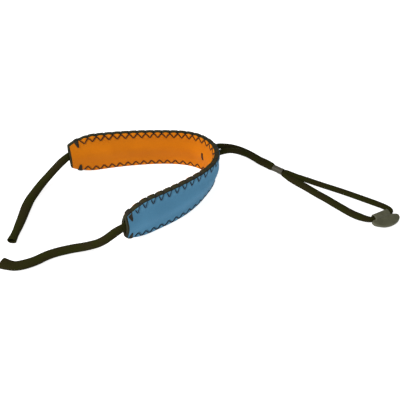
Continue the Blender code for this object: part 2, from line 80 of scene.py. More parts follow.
camera_data = bpy.data.cameras.new("camera")
camera_data.lens = CAMERA_LENS_MM
camera_data.clip_start = 0.01
camera = bpy.data.objects.new("camera", camera_data)
back = Vector((0.0, -np.cos(CAMERA_ELEVATION), np.sin(CAMERA_ELEVATION)))
camera.location = CAMERA_TARGET + back * CAMERA_DISTANCE
camera.rotation_euler = back.to_track_quat("Z", "Y").to_euler()
bpy.context.scene.collection.objects.link(camera)
bpy.context.scene.camera = camera
print("camera at", [round(v, 3) for v in camera.location])

# %% [markdown]
# A plain pale floor and a bright, even surround give the clean look of a product shot. The floor also
# glows a little by itself, which keeps it white and leaves only a soft shadow under the strap. One
# soft light from the upper left models the folds, and a weaker one from the right opens the shadows.

# %% Floor
WHITE = (1.0, 1.0, 1.0, 1.0)
FLOOR_SIDE = 4.0
FLOOR_DROP = 0.05 * MM
FLOOR_FINISH = (
    ("Base Color", (0.50, 0.50, 0.50, 1.0)), ("Roughness", 0.9), ("Specular IOR Level", 0.1),
    ("Emission Color", WHITE), ("Emission Strength", 0.84),
)


def from_bmesh(name, bm):
    """A linked object made from a bmesh, which is freed."""
    mesh = bpy.data.meshes.new(name)
    bm.to_mesh(mesh)
    bm.free()
    made = bpy.data.objects.new(name, mesh)
    bpy.context.scene.collection.objects.link(made)
    return made


def make_floor():
    bm = bmesh.new()
    bmesh.ops.create_grid(bm, x_segments=1, y_segments=1, size=FLOOR_SIDE / 2)
    bmesh.ops.translate(bm, verts=bm.verts, vec=(0.0, 0.0, -FLOOR_DROP))
    made = from_bmesh("floor", bm)
    paper = bpy.data.materials.new("floor_paper")
    paper.use_nodes = True
    for socket, value in FLOOR_FINISH:
        paper.node_tree.nodes["Principled BSDF"].inputs[socket].default_value = value
    made.data.materials.append(paper)
    return made


floor = make_floor()
print(f"{floor.name}: {FLOOR_SIDE} m wide, {FLOOR_DROP / MM:.2f} mm under the strap")

# %% Lights
LIGHT_AIM = Vector((0.03, 0.0, 0.0))
SURROUND_STRENGTH = 0.40


def soft_light(name, place, size, power):
    """A square area light at a place, turned towards the strap."""
    data = bpy.data.lights.new(name, "AREA")
    data.shape = "SQUARE"
    data.size = size
    data.energy = power
    light = bpy.data.objects.new(name, data)
    light.location = place
    light.rotation_euler = (Vector(place) - LIGHT_AIM).to_track_quat("Z", "Y").to_euler()
    bpy.context.scene.collection.objects.link(light)
    print(f"{name}: {power} W, {size} m across")


soft_light("key_light", (-0.55, -0.32, 0.66), 0.50, 10.5)
soft_light("fill_light", (0.75, -0.55, 0.45), 0.60, 2.0)

world = bpy.data.worlds.new("studio")
world.use_nodes = True
surround = world.node_tree.nodes["Background"]
surround.inputs["Color"].default_value = WHITE
surround.inputs["Strength"].default_value = SURROUND_STRENGTH
bpy.context.scene.world = world
bpy.context.scene.view_settings.view_transform = "Standard"

# %% [markdown]
# ## Materials
# Cloth is never one flat colour. Each finish below has a pattern at its real scale. On cloth, thread
# and cord the piece's own UV map carries it, so that it follows the surface as a stitch does. On foam,
# vinyl and rubber it is a pattern in space. The helper below makes a material, and adds and links its
# nodes in short lines.

# %% A small node helper
class Finish:
    """A Principled material with short ways to add nodes to it."""

    def __init__(self, name, roughness):
        self.material = bpy.data.materials.new(name)
        self.material.use_nodes = True
        self.nodes = self.material.node_tree.nodes
        self.links = self.material.node_tree.links
        self.shader = self.nodes["Principled BSDF"]
        self.fixed("Roughness", roughness)

    def fixed(self, socket, value):
        """Sets a number that is the same all over the surface."""
        self.shader.inputs[socket].default_value = value

    def add(self, kind, settings=None, **values):
        """A node of a kind, with its settings. Each input is a number or another node's output, and is
        called by its name, or by its place as i0, i1 and so on."""
        node = self.nodes.new(kind)
        for key, value in (settings or {}).items():
            setattr(node, key, value)
        for key, value in values.items():
            counted = key[0] == "i" and key[1:].isdigit()
            socket = node.inputs[int(key[1:]) if counted else key]
            if isinstance(value, bpy.types.NodeSocket):
                self.links.new(value, socket)
            else:
                socket.default_value = value
        return node.outputs

    def maths(self, operation, first, second=0.0):
        return self.add("ShaderNodeMath", {"operation": operation}, i0=first, i1=second)[0]

    def mix(self, share, first, second):
        """Two colours mixed by a share."""
        return self.add("ShaderNodeMix", {"data_type": "RGBA"}, i0=share, i6=first, i7=second)[2]

    def ramp(self, value, low, high, to_low=0.0, to_high=1.0):
        """A value from low to high, turned into one from to_low to to_high."""
        return self.add("ShaderNodeMapRange", {}, i0=value, i1=low, i2=high, i3=to_low, i4=to_high)[0]

    def noise(self, vector, scale, detail=2.0):
        return self.add("ShaderNodeTexNoise", {}, Vector=vector, Scale=scale, Detail=detail)[0]

    def cells(self, vector, scale):
        return self.add("ShaderNodeTexVoronoi", {}, Vector=vector, Scale=scale)[0]

    def attribute(self, name):
        """A number that the mesh carries at each point."""
        return self.add("ShaderNodeAttribute", {"attribute_name": name})[2]

    def place(self):
        """Where a point of the piece is in space."""
        return self.add("ShaderNodeTexCoord")[3]

    def done(self, colour, height, distance, strength=1.0):
        """The finished material, with its colour and its bump."""
        bump = self.add("ShaderNodeBump", {}, Strength=strength, Distance=distance, Height=height)
        self.links.new(bump[0], self.shader.inputs["Normal"])
        self.links.new(colour, self.shader.inputs["Base Color"])
        print(f"{self.material.name}: {len(self.nodes)} nodes")
        return self.material


# %% [markdown]
# ### Plain knit
# Plain knit is columns of little V shapes, the wales. In one column the two legs of each V lean
# towards its middle, so a stripe across the cloth is bent by the distance from the column's middle.
# The same pattern serves the fine jersey on the foam and the coarser cord. Stitches could be modelled
# one by one, but these stand up by less than a fifth of a millimetre, so a bump shows them as well.

# %% Knit pattern
LEG_ROUNDNESS = 0.5
ROW_SHARE = 0.6


def knit_height(finish, across, along, lean):
    """Height of a plain knit, from two coordinates that count its wales and its rows."""
    inside = finish.maths("SUBTRACT", finish.maths("FRACT", across), 0.5)
    from_middle = finish.maths("MULTIPLY", finish.maths("ABSOLUTE", inside), 2.0)
    bent = finish.maths("ADD", along, finish.maths("MULTIPLY", from_middle, lean))
    wave = finish.maths("SINE", finish.maths("MULTIPLY", bent, 2 * np.pi))
    rows = finish.maths("MULTIPLY", finish.maths("ADD", wave, 1.0), 0.5)
    leg = finish.maths("SINE", finish.maths("MULTIPLY", from_middle, np.pi))
    body = finish.maths("POWER", finish.maths("MAXIMUM", leg, 0.001), LEG_ROUNDNESS)
    rise = finish.maths("ADD", finish.maths("MULTIPLY", rows, ROW_SHARE), 1 - ROW_SHARE)
    return finish.maths("MULTIPLY", body, rise)


def uv_of(finish):
    """The two coordinates of a piece's UV map, and the map itself."""
    outputs = finish.add("ShaderNodeUVMap", {"uv_map": "UVMap"})
    split = finish.add("ShaderNodeSeparateXYZ", {}, Vector=outputs[0])
    return split[0], split[1], outputs[0]


# %% [markdown]
# ### Jersey on the faces
# The faces are a fine, smooth jersey: its wales are just over half a millimetre wide. Its colour carries a painted
# highlight where the padding pushes it up between stitches and painted shade where the thread pulls it down, which
# a number at each point of its mesh, called puff, will tell it. The crests of the knit get a faint painted
# highlight as well, mixed with random fibre specks. Only the blue has a trace of sheen.

# %% Jersey finish
JERSEY_WALE = 0.62 * MM
JERSEY_ROW = 0.50 * MM
JERSEY_LEAN = 0.45
JERSEY_BUMP = 0.06 * MM
JERSEY_PATCHES = 45.0
JERSEY_FIBRES = 900.0
# How dark the painted shade in the thread's grooves is, as a share of the patch colour.
GROOVE_SHADE_SHARE = 0.42


def jersey(name, colour, shade, painted_highlight, sheen):
    """A jersey, from its colour, the colour of its darker patches, and the colour of the painted highlight on its
    swellings and crests. The painted shade in its grooves is a darker share of the patch colour.
    """
    finish = Finish(name, 0.82)
    u, v, uv = uv_of(finish)
    wales, rows = finish.maths("DIVIDE", v, JERSEY_WALE), finish.maths("DIVIDE", u, JERSEY_ROW)
    height = knit_height(finish, wales, rows, JERSEY_LEAN)
    puff = finish.attribute("puff")
    fibres = finish.noise(uv, JERSEY_FIBRES, 3.0)
    # Painted shade for the grooves under the thread: a darker share of the patch colour.
    painted_groove_shade = (*(GROOVE_SHADE_SHARE * channel for channel in shade[:3]), 1.0)
    tone = finish.mix(finish.ramp(finish.noise(uv, JERSEY_PATCHES), 0.3, 0.7), shade, colour)
    # Painted highlight where the padding swells, then painted shade where the thread pulls the cloth down.
    tone = finish.mix(finish.ramp(puff, 0.05, 1.0, 0.0, 0.85), tone, painted_highlight)
    tone = finish.mix(finish.ramp(puff, -0.1, -1.0, 0.0, 0.75), tone, painted_groove_shade)
    # A faint painted highlight on the knit's crests, mixed with random fibre specks.
    speck_and_crest_highlight = finish.maths("ADD", finish.maths("MULTIPLY", height, 0.5), fibres)
    tone = finish.mix(finish.ramp(speck_and_crest_highlight, 0.35, 1.1, 0.0, 0.22), tone, painted_highlight)
    finish.fixed("Sheen Weight", sheen)
    finish.fixed("Sheen Roughness", 0.45)
    finish.fixed("Specular IOR Level", 0.10)
    surface = finish.maths("ADD", height, finish.maths("MULTIPLY", fibres, 0.4))
    return finish.done(tone, surface, JERSEY_BUMP, 0.7)


# Each jersey from its colour, its patch colour, its painted highlight colour and its sheen.
ORANGE_JERSEY = jersey(
    "orange_jersey", (0.49, 0.140, 0.0008, 1), (0.41, 0.112, 0.0006, 1), (0.63, 0.19, 0.001, 1), 0.0,
)
BLUE_JERSEY = jersey(
    "blue_jersey", (0.058, 0.180, 0.295, 1), (0.048, 0.155, 0.258, 1), (0.10, 0.25, 0.37, 1), 0.02,
)

# %% [markdown]
# ### Foam, thread, cord, vinyl and rubber
# The foam shows only at its cut edges. It is olive black and full of tiny broken cells, whose hollows are darkened
# with painted shade, and browner towards the middle, where the two sheets meet. Thread is two plies twisted
# together: the twist is real geometry, so the finish only adds fibres and a little gloss. The cord is a wider knit
# than the jersey, dyed olive with patches that lean to brown, and painted shade darkens the hollows between its
# loops. The slider is smoked vinyl that lets only a little light through, and the tab is satin rubber with the
# fine pitting of a worn mould.

# %% Foam finish
FOAM_CELLS = 2600.0
FOAM_PATCHES = 160.0
FOAM_BUMP = 0.10 * MM


def foam_finish():
    finish = Finish("cut_foam", 0.95)
    place = finish.place()
    cells = finish.cells(place, FOAM_CELLS)
    patches = finish.noise(place, FOAM_PATCHES)
    brown, dark = (0.036, 0.028, 0.012, 1), (0.013, 0.014, 0.005, 1)
    olive, painted_pore_shade = (0.021, 0.023, 0.007, 1), (0.006, 0.006, 0.004, 1)
    tone = finish.mix(finish.ramp(finish.attribute("depth"), 0.15, 0.95), brown, dark)
    tone = finish.mix(finish.ramp(patches, 0.35, 0.7, 0.0, 0.6), tone, olive)
    # Painted shade in the hollows of the cut cells, where the bump sinks.
    tone = finish.mix(finish.ramp(cells, 0.25, 0.0, 0.0, 0.5), tone, painted_pore_shade)
    finish.fixed("Specular IOR Level", 0.2)
    return finish.done(tone, cells, FOAM_BUMP, 0.6)


FOAM = foam_finish()


# %% Thread finish
THREAD_FIBRES = 5200.0
THREAD_PATCHES = 350.0
THREAD_BUMP = 0.03 * MM


def thread_finish(name, colour, light):
    finish = Finish(name, 0.55)
    _, _, uv = uv_of(finish)
    diagonal = {"bands_direction": "DIAGONAL"}
    fibres = finish.add("ShaderNodeTexWave", diagonal, Vector=uv, Scale=THREAD_FIBRES, Distortion=1.5)[1]
    patches = finish.noise(uv, THREAD_PATCHES)
    tone = finish.mix(finish.ramp(patches, 0.3, 0.75, 0.0, 0.8), colour, light)
    finish.fixed("Specular IOR Level", 0.20)
    return finish.done(tone, fibres, THREAD_BUMP, 0.5)


RED_BROWN_THREAD = thread_finish("red_brown_thread", (0.014, 0.003, 0.001, 1), (0.032, 0.007, 0.002, 1))
NAVY_THREAD = thread_finish("navy_thread", (0.0015, 0.003, 0.008, 1), (0.003, 0.008, 0.020, 1))
TACK_THREAD = thread_finish("tack_thread", (0.012, 0.010, 0.005, 1), (0.026, 0.021, 0.011, 1))


# %% Cord finish
CORD_WALES = 18
CORD_ROW = 0.95 * MM
CORD_LEAN = 0.5
CORD_PATCHES = 110.0
CORD_FUZZ = 2500.0
CORD_BUMP = 0.16 * MM


def cord_finish():
    finish = Finish("knitted_cord", 0.88)
    u, v, _ = uv_of(finish)
    wales, rows = finish.maths("MULTIPLY", u, CORD_WALES), finish.maths("DIVIDE", v, CORD_ROW)
    height = knit_height(finish, wales, rows, CORD_LEAN)
    place = finish.place()
    patches = finish.noise(place, CORD_PATCHES)
    fuzz = finish.noise(place, CORD_FUZZ, 3.0)
    olive, brown = (0.017, 0.018, 0.0018, 1), (0.019, 0.015, 0.004, 1)
    painted_gap_shade, pale = (0.004, 0.004, 0.001, 1), (0.034, 0.032, 0.010, 1)
    tone = finish.mix(finish.ramp(patches, 0.40, 0.62), olive, brown)
    # Painted shade in the hollows between the knit's loops, where the bump is low.
    tone = finish.mix(finish.ramp(height, 0.45, 0.05, 0.0, 0.8), tone, painted_gap_shade)
    tone = finish.mix(finish.ramp(fuzz, 0.5, 0.8, 0.0, 0.35), tone, pale)
    finish.fixed("Specular IOR Level", 0.05)
    surface = finish.maths("ADD", height, finish.maths("MULTIPLY", fuzz, 0.25))
    return finish.done(tone, surface, CORD_BUMP, 0.9)


CORD = cord_finish()


# %% Vinyl and rubber finishes
VINYL_HAZE = 300.0
VINYL_RIPPLE = 1400.0
VINYL_BUMP = 0.03 * MM
RUBBER_PITS = 3400.0
RUBBER_CLOUDS = 230.0
RUBBER_BUMP = 0.05 * MM


def vinyl_finish():
    finish = Finish("smoked_vinyl", 0.48)
    place = finish.place()
    haze = finish.noise(place, VINYL_HAZE, 3.0)
    dark, pale = (0.046, 0.041, 0.024, 1), (0.072, 0.065, 0.043, 1)
    tone = finish.mix(finish.ramp(haze, 0.3, 0.7), dark, pale)
    finish.fixed("Transmission Weight", 0.18)
    finish.fixed("Specular IOR Level", 0.15)
    finish.fixed("IOR", 1.45)
    return finish.done(tone, finish.noise(place, VINYL_RIPPLE), VINYL_BUMP, 0.4)


def rubber_finish():
    finish = Finish("moulded_rubber", 0.6)
    place = finish.place()
    pits = finish.cells(place, RUBBER_PITS)
    clouds = finish.noise(place, RUBBER_CLOUDS, 3.0)
    dark, pale = (0.055, 0.055, 0.030, 1), (0.073, 0.072, 0.042, 1)
    tone = finish.mix(finish.ramp(clouds, 0.35, 0.65), dark, pale)
    finish.links.new(finish.ramp(clouds, 0.3, 0.7, 0.50, 0.68), finish.shader.inputs["Roughness"])
    finish.fixed("Specular IOR Level", 0.3)
    return finish.done(tone, finish.maths("ADD", pits, clouds), RUBBER_BUMP, 0.5)


VINYL = vinyl_finish()
RUBBER = rubber_finish()

# %% [markdown]
# ## Flat strips, wrapped into place
# Nearly every piece of this strap starts as something flat. The band is cut from flat sheets and bent,
# and a knitted tube is a strip whose long sides are joined. So one helper makes a flat, unit-sized grid
# with a UV map, and a second one moves its points to where the real piece lies. Working with the
# whole array of points at once keeps this quick.

# %% Strip and wrap helpers
WELD_DISTANCE = 0.002 * MM
SHARP_ANGLE = np.radians(50)


def flat_strip(columns, rows, slab):
    """A grid from 0 to 1 both ways, with a UV map. A slab is also one unit thick."""
    bm = bmesh.new()
    bm.loops.layers.uv.new("UVMap")
    bmesh.ops.create_grid(bm, x_segments=columns, y_segments=rows, size=0.5, calc_uvs=True)
    bmesh.ops.translate(bm, verts=bm.verts, vec=(0.5, 0.5, 0.0))
    if slab:
        grown = bmesh.ops.extrude_face_region(bm, geom=bm.faces[:])["geom"]
        raised = [item for item in grown if isinstance(item, bmesh.types.BMVert)]
        bmesh.ops.translate(bm, verts=raised, vec=(0.0, 0.0, 1.0))
    return bm


def wrapped(bm, name, place, uv_size, material, merge=False):
    """An object from a flat strip: place turns its points, as an array, into points in space."""
    mesh = bpy.data.meshes.new(name)
    bm.to_mesh(mesh)
    bm.free()
    flat = np.empty(len(mesh.vertices) * 3)
    mesh.vertices.foreach_get("co", flat)
    mesh.vertices.foreach_set("co", place(flat.reshape(-1, 3)).reshape(-1))
    uv = np.empty(len(mesh.loops) * 2)
    layer = mesh.uv_layers["UVMap"].data
    layer.foreach_get("uv", uv)
    layer.foreach_set("uv", (uv.reshape(-1, 2) * np.array(uv_size)).reshape(-1))
    tidy = bmesh.new()
    tidy.from_mesh(mesh)
    if merge:
        bmesh.ops.remove_doubles(tidy, verts=tidy.verts, dist=WELD_DISTANCE)
        rims = [edge for edge in tidy.edges if edge.is_boundary]
        bmesh.ops.holes_fill(tidy, edges=rims, sides=0)
    bmesh.ops.recalc_face_normals(tidy, faces=tidy.faces)
    tidy.to_mesh(mesh)
    tidy.free()
    return shown(name, mesh, material)


def shown(name, mesh, material):
    """Links a finished mesh to the scene, shaded smooth but for its sharp corners."""
    mesh.materials.clear()
    mesh.materials.append(material)
    mesh.shade_smooth()
    mesh.set_sharp_from_angle(angle=SHARP_ANGLE)
    made = bpy.data.objects.new(name, mesh)
    bpy.context.scene.collection.objects.link(made)
    return made


def say(piece):
    low = np.min([v.co for v in piece.data.vertices], axis=0)
    high = np.max([v.co for v in piece.data.vertices], axis=0)
    size = " x ".join(f"{side / MM:.1f}" for side in high - low)
    print(f"{piece.name}: {len(piece.data.polygons)} faces, {size} mm, lowest {low[2] / MM:.2f} mm")


# %% [markdown]
# ## The cord's routes
# A cord is a fixed length of something limp, so its route is settled before its surface. The tails
# leave the band's ends, drop to the table and lie in easy curves. The loop's two strands leave the back
# of the band side by side, squeeze through the slider, part, and turn round inside the tab's sleeve.
# Between the points given, a curve that keeps its direction through each of them looks like cord, where straight
# runs and arcs would look like bent wire. A simulation would settle it too, but would not put the slider and the
# tab where the solids are.

# %% Smooth paths
CURVE_POINTS = 17


def smooth_path(route, spacing):
    """Points about a spacing apart on the smooth curve through the points of a route."""
    knots = [Vector(point) for point in route]
    fine = [knots[0]]
    for i in range(len(knots) - 1):
        before = knots[max(i - 1, 0)]
        after = knots[min(i + 2, len(knots) - 1)]
        here, there = knots[i], knots[i + 1]
        span = (there - here).length
        leave = (there - before).normalized() * span / 3
        arrive = (after - here).normalized() * span / 3
        fine += interpolate_bezier(here, here + leave, there - arrive, there, CURVE_POINTS)[1:]
    return evenly(np.array(fine), spacing)


def evenly(points, spacing):
    """The same line, with its points about a spacing apart."""
    steps = np.linalg.norm(np.diff(points, axis=0), axis=1)
    lengths = np.concatenate([[0.0], np.cumsum(steps)])
    count = max(int(round(lengths[-1] / spacing)), 2)
    wanted = np.linspace(0.0, lengths[-1], count + 1)
    return np.column_stack([np.interp(wanted, lengths, points[:, axis]) for axis in range(3)])


def length_of(points):
    return float(np.linalg.norm(np.diff(points, axis=0), axis=1).sum())


corner = smooth_path(((0.0, 0.0, 0.0), (0.01, 0.0, 0.0), (0.01, 0.01, 0.0)), MM)
print(f"two 10 mm sides of a corner, as one smooth path: {length_of(corner) / MM:.1f} mm")

# %% Routes of the free cord, each from the band outwards
RIGHT_TAIL_ROUTE = (
    (-0.0562, 0.0251, 0.0136), (-0.0604, 0.0223, 0.0106), (-0.0640, 0.0191, 0.0079), (-0.0674, 0.0153, 0.0057),
    (-0.0702, 0.0108, 0.0042), (-0.0724, 0.0056, 0.0033), (-0.0743, -0.0001, 0.0029), (-0.0753, -0.0060, 0.0028),
    (-0.0758, -0.0119, 0.0028), (-0.0761, -0.0176, 0.0028), (-0.0765, -0.0233, 0.0028), (-0.0770, -0.0288, 0.0028),
    (-0.0776, -0.0342, 0.0028), (-0.0781, -0.0397, 0.0028),
)
LEFT_TAIL_ROUTE = (
    (-0.0118, -0.0443, 0.0146), (-0.0155, -0.0458, 0.0126), (-0.0192, -0.0468, 0.0102), (-0.0231, -0.0469, 0.0079),
    (-0.0270, -0.0464, 0.0059), (-0.0309, -0.0462, 0.0045), (-0.0346, -0.0462, 0.0036), (-0.0383, -0.0465, 0.0031),
    (-0.0419, -0.0473, 0.0029), (-0.0454, -0.0483, 0.0028), (-0.0489, -0.0496, 0.0028), (-0.0522, -0.0511, 0.0028),
    (-0.0555, -0.0531, 0.0028), (-0.0587, -0.0555, 0.0028), (-0.0619, -0.0574, 0.0028), (-0.0652, -0.0589, 0.0028),
    (-0.0686, -0.0600, 0.0028), (-0.0720, -0.0605, 0.0028), (-0.0757, -0.0599, 0.0028), (-0.0798, -0.0586, 0.0028),
)
RIGHT_STRAND_TO_SLIDER = (
    (0.0514, 0.0395, 0.0163), (0.0556, 0.0401, 0.0159), (0.0599, 0.0413, 0.0146), (0.0643, 0.0427, 0.0124),
    (0.0687, 0.0438, 0.0098), (0.0731, 0.0441, 0.0072), (0.0775, 0.0432, 0.0050), (0.0817, 0.0410, 0.0036),
    (0.0859, 0.0389, 0.0029), (0.0891, 0.0364, 0.0026),
)
LEFT_STRAND_TO_SLIDER = (
    (0.0513, 0.0323, 0.0159), (0.0555, 0.0339, 0.0162), (0.0597, 0.0354, 0.0158), (0.0640, 0.0368, 0.0142),
    (0.0683, 0.0380, 0.0118), (0.0727, 0.0388, 0.0092), (0.0771, 0.0384, 0.0066), (0.0812, 0.0372, 0.0043),
    (0.0854, 0.0352, 0.0031), (0.0886, 0.0330, 0.0026),
)
RIGHT_STRAND_TO_TAB = (
    (0.1018, 0.0264, 0.0024), (0.1057, 0.0238, 0.0023), (0.1096, 0.0216, 0.0023), (0.1135, 0.0195, 0.0023),
    (0.1173, 0.0173, 0.0023), (0.1211, 0.0152, 0.0023), (0.1249, 0.0131, 0.0023), (0.1287, 0.0111, 0.0023),
    (0.1362, 0.0070, 0.0023), (0.1435, 0.0027, 0.0023), (0.1507, -0.0016, 0.0023), (0.1546, -0.0041, 0.0024),
    (0.1586, -0.0069, 0.0026), (0.1618, -0.0099, 0.0029), (0.1630, -0.0129, 0.0031),
)
LEFT_STRAND_TO_TAB = (
    (0.1012, 0.0209, 0.0024), (0.1050, 0.0173, 0.0023), (0.1106, 0.0120, 0.0023), (0.1159, 0.0066, 0.0023),
    (0.1194, 0.0031, 0.0023), (0.1230, -0.0002, 0.0023), (0.1264, -0.0038, 0.0023), (0.1332, -0.0107, 0.0023),
    (0.1365, -0.0139, 0.0023), (0.1399, -0.0167, 0.0024), (0.1434, -0.0189, 0.0026), (0.1471, -0.0205, 0.0029),
)
for name, route in (
    ("right tail", RIGHT_TAIL_ROUTE), ("left tail", LEFT_TAIL_ROUTE),
    ("right strand to the slider", RIGHT_STRAND_TO_SLIDER),
    ("left strand to the slider", LEFT_STRAND_TO_SLIDER),
    ("right strand to the tab", RIGHT_STRAND_TO_TAB), ("left strand to the tab", LEFT_STRAND_TO_TAB),
):
    print(f"{name}: {len(route)} points, {length_of(smooth_path(route, MM)) / MM:.0f} mm")

# %% [markdown]
# ## The band's shape
# The band is described as a maker would: how long and high it is cut, and in which direction it runs at
# each distance along it as it stands bent on the table. Walking those headings step by step gives its
# line in plan. Anything sewn to the band is then placed by its distance along, its height, and how
# far it lies out of the middle surface, between the two sheets of foam.

# %% The band's line in plan
BAND_LENGTH = 0.195
BAND_HEIGHT = 0.032
END_HEIGHT = 0.0185
END_TAPER = 0.019
PLAN_HEADINGS = (
    (0, 26.6), (9, 15.0), (27, 10.7), (62, 1.4), (80, -6.2), (98, -46.1),
    (114, -99.0), (130, -124.3), (148, -137.9), (167, -146.4), (184, -146.0), (195, -134.2),
)
PLAN_FLARE = ((0, -0.01), (67, -0.15), (102, -0.08), (122, 0.26), (152, 0.10), (195, 0.09))
PLAN_EASE = 9.0
PLAN_MIDDLE = Vector((0.04289, 0.03059, 0.0))
PLAN_STEP = 0.5


def eased(distances, pairs):
    """Values at distances in millimetres: straight between the pairs, averaged so that corners are eased."""
    places, values = np.array(pairs, float).T
    window = np.linspace(-PLAN_EASE, PLAN_EASE, 19)
    return np.interp(np.asarray(distances)[..., None] + window, places, values).mean(axis=-1)


plan_marks = np.arange(0.0, BAND_LENGTH / MM + PLAN_STEP / 2, PLAN_STEP)
plan_heading = np.radians(eased(plan_marks, PLAN_HEADINGS))
plan_flare = eased(plan_marks, PLAN_FLARE)
between = (plan_heading[1:] + plan_heading[:-1]) / 2
plan_x = np.concatenate([[0.0], np.cumsum(np.cos(between)) * PLAN_STEP * MM])
plan_y = np.concatenate([[0.0], np.cumsum(np.sin(between)) * PLAN_STEP * MM])
plan_x += PLAN_MIDDLE.x - plan_x[len(plan_x) // 2]
plan_y += PLAN_MIDDLE.y - plan_y[len(plan_y) // 2]
for name, at in (("right", 0), ("left", -1)):
    print(f"band's {name} end at {plan_x[at] / MM:.1f}, {plan_y[at] / MM:.1f} mm")


# %% Points of the band
def at_plan(along, values):
    return np.interp(np.asarray(along) / MM, plan_marks, values)


def band_points(along, height, out):
    """Points in space, from distances along the band, heights over the table and offsets outwards."""
    heading = at_plan(along, plan_heading)
    out = out + at_plan(along, plan_flare) * (np.asarray(height) - BAND_HEIGHT / 2)
    x = at_plan(along, plan_x) - np.sin(heading) * out
    y = at_plan(along, plan_y) + np.cos(heading) * out
    return np.stack(np.broadcast_arrays(x, y, height), axis=-1)


def half_height(along):
    """Half the band's height, drawn in by a round taper at both ends."""
    share = np.clip(np.minimum(along, BAND_LENGTH - along) / END_TAPER, 0.0, 1.0)
    return END_HEIGHT / 2 + (BAND_HEIGHT - END_HEIGHT) / 2 * np.sin(share * np.pi / 2) ** 0.8


def axes_at(along):
    """The band's direction of travel and its outward direction at one distance along it."""
    heading = float(at_plan(along, plan_heading))
    travel = Vector((np.cos(heading), np.sin(heading), 0.0))
    return travel, Vector((-travel.y, travel.x, 0.0))
for at in (0.0, END_TAPER, BAND_LENGTH / 2):
    print(f"band's height {at / MM:.0f} mm along: {2 * half_height(at) / MM:.1f} mm")


# %% [markdown]
# ### Padding, grooves and scallops
# A stitched foam edge is alive: the thread bites into the cloth, the padding swells between the
# stitches, and the inner side of the top edge stands up in round pillows between the places where the
# thread goes over it. One function gives the offset of the cloth's surface everywhere, and everything
# sewn to the band reads it, so that thread and groove always meet.

# %% Stitches in numbers
STITCH_PITCH = 5.65 * MM
STITCH_COUNT = 33
FIRST_STITCH = 5.8 * MM
STITCH_DEPTH = 4.7 * MM
INNER_TOP_STITCH_DEPTH = 5.8 * MM
APEX_DEPTH = 0.75 * MM
OUTER_TOP_APEX_DEPTH = 0.25 * MM
OUTER_V_SHARE = 0.27
STITCH_TIPS = [FIRST_STITCH + STITCH_PITCH * stitch for stitch in range(1, STITCH_COUNT)]
print(f"{len(STITCH_TIPS)} stitch tips, the first {STITCH_TIPS[0] / MM:.1f} mm along the band")


def stitch_phase(along):
    """Distance to the nearest stitch tip, in pitches from 0 to a half, and 1 where there are stitches."""
    count = (along - FIRST_STITCH) / STITCH_PITCH
    phase = np.abs(count - np.round(count))
    sewn = np.clip(np.minimum(count, STITCH_COUNT - count) * 3.0 - 1.0, 0.0, 1.0)
    return phase, sewn


def tip_depth(at_top, outer):
    return INNER_TOP_STITCH_DEPTH if at_top and not outer else STITCH_DEPTH


def thread_depth(phase, at_top, outer):
    """How far in from the edge the thread lies, from a stitch's phase."""
    tip = tip_depth(at_top, outer)
    if at_top and outer:
        return tip + (OUTER_TOP_APEX_DEPTH - tip) * np.minimum(phase / OUTER_V_SHARE, 1.15)
    return tip + (APEX_DEPTH - tip) * phase * 2


# %% Relief of the cloth
GROOVE_DEEP = 0.34 * MM
GROOVE_WIDE = 0.75 * MM
GROOVE_END = 0.06
PUFF_HIGH = 0.22 * MM
PUFF_PLACE = 0.45
PUFF_SPREAD = 0.32
PUFF_BLUR = 0.4 * MM
BETWEEN_DEPTH = 3.1 * MM
BETWEEN_WIDE = 1.5 * MM
INSIDE_SHARE = 0.9
BETWEEN_SHARE = 0.5
GROOVE_SHARE = 1.45


def bell(distance, width):
    """1 in the middle, falling smoothly to 0 on both sides."""
    return np.exp(-((distance / width) ** 2))


def smooth_step(share):
    """From 0 to 1, leaving and arriving level."""
    share = np.clip(share, 0.0, 1.0)
    return share * share * (3 - 2 * share)


def relief(along, depth, at_top, outer):
    """Groove under the thread, and swelling inside each V and between two, from -1 to 1."""
    phase, sewn = stitch_phase(along)
    line = thread_depth(phase, at_top, outer)
    groove = bell(depth - line, GROOVE_WIDE)
    if at_top and outer:
        groove *= np.clip((OUTER_V_SHARE + GROOVE_END - phase) / GROOVE_END, 0.0, 1.0)
    inside = bell(depth - PUFF_PLACE * line, PUFF_SPREAD * line + PUFF_BLUR)
    inside *= np.clip(1 - phase * 1.7, 0.0, 1.0)
    between = bell(depth - BETWEEN_DEPTH, BETWEEN_WIDE) * np.clip(phase * 3 - 0.6, 0.0, 1.0)
    return sewn * (INSIDE_SHARE * inside + BETWEEN_SHARE * between - GROOVE_SHARE * groove)


# %% Surface of the band
CHANNEL_HALF = 1.5 * MM
CHANNEL_SINK = 0.15 * MM
CHANNEL_REACH = 9.5 * MM
EDGE_HALF = 1.75 * MM
EDGE_ROUND = 1.1 * MM
EDGE_DROP = 0.45 * MM
EDGE_SLOPE = 0.38
END_SLOPE_SHARE = 0.4
SLOPE_EASE = 8.0 * MM
BODY_SWELL = 0.5 * MM
BODY_SWELL_REACH = 6.0 * MM
SCALLOP = 2.1 * MM
SCALLOP_MIDDLE_SHARE = 0.62
SCALLOP_FADE = 0.8
PILLOW_ROUND = 0.95


def top_height(along, out):
    """Height of the top edge. It slopes down outwards, and the thread draws its inner side down."""
    phase, sewn = stitch_phase(along)
    inner_share = np.clip(SCALLOP_MIDDLE_SHARE - out / (2 * EDGE_HALF) * SCALLOP_FADE, 0.0, 1.0)
    pillow = 1.0 - np.sqrt(1.0 - PILLOW_ROUND * np.minimum(2 * phase, 1.0) ** 2)
    dip = SCALLOP * sewn * inner_share * pillow
    from_end = np.clip(np.minimum(along, BAND_LENGTH - along) / SLOPE_EASE, 0.0, 1.0)
    slope = EDGE_SLOPE * (END_SLOPE_SHARE + (1 - END_SLOPE_SHARE) * from_end)
    return BAND_HEIGHT / 2 + half_height(along) - slope * (out + EDGE_HALF) - dip


def channel_bulge(height):
    """1 over the middle of the cord channel, falling to 0 at its reach."""
    from_middle = np.abs(height - BAND_HEIGHT / 2)
    return (1 + np.cos(np.pi * np.minimum(from_middle / CHANNEL_REACH, 1.0))) / 2


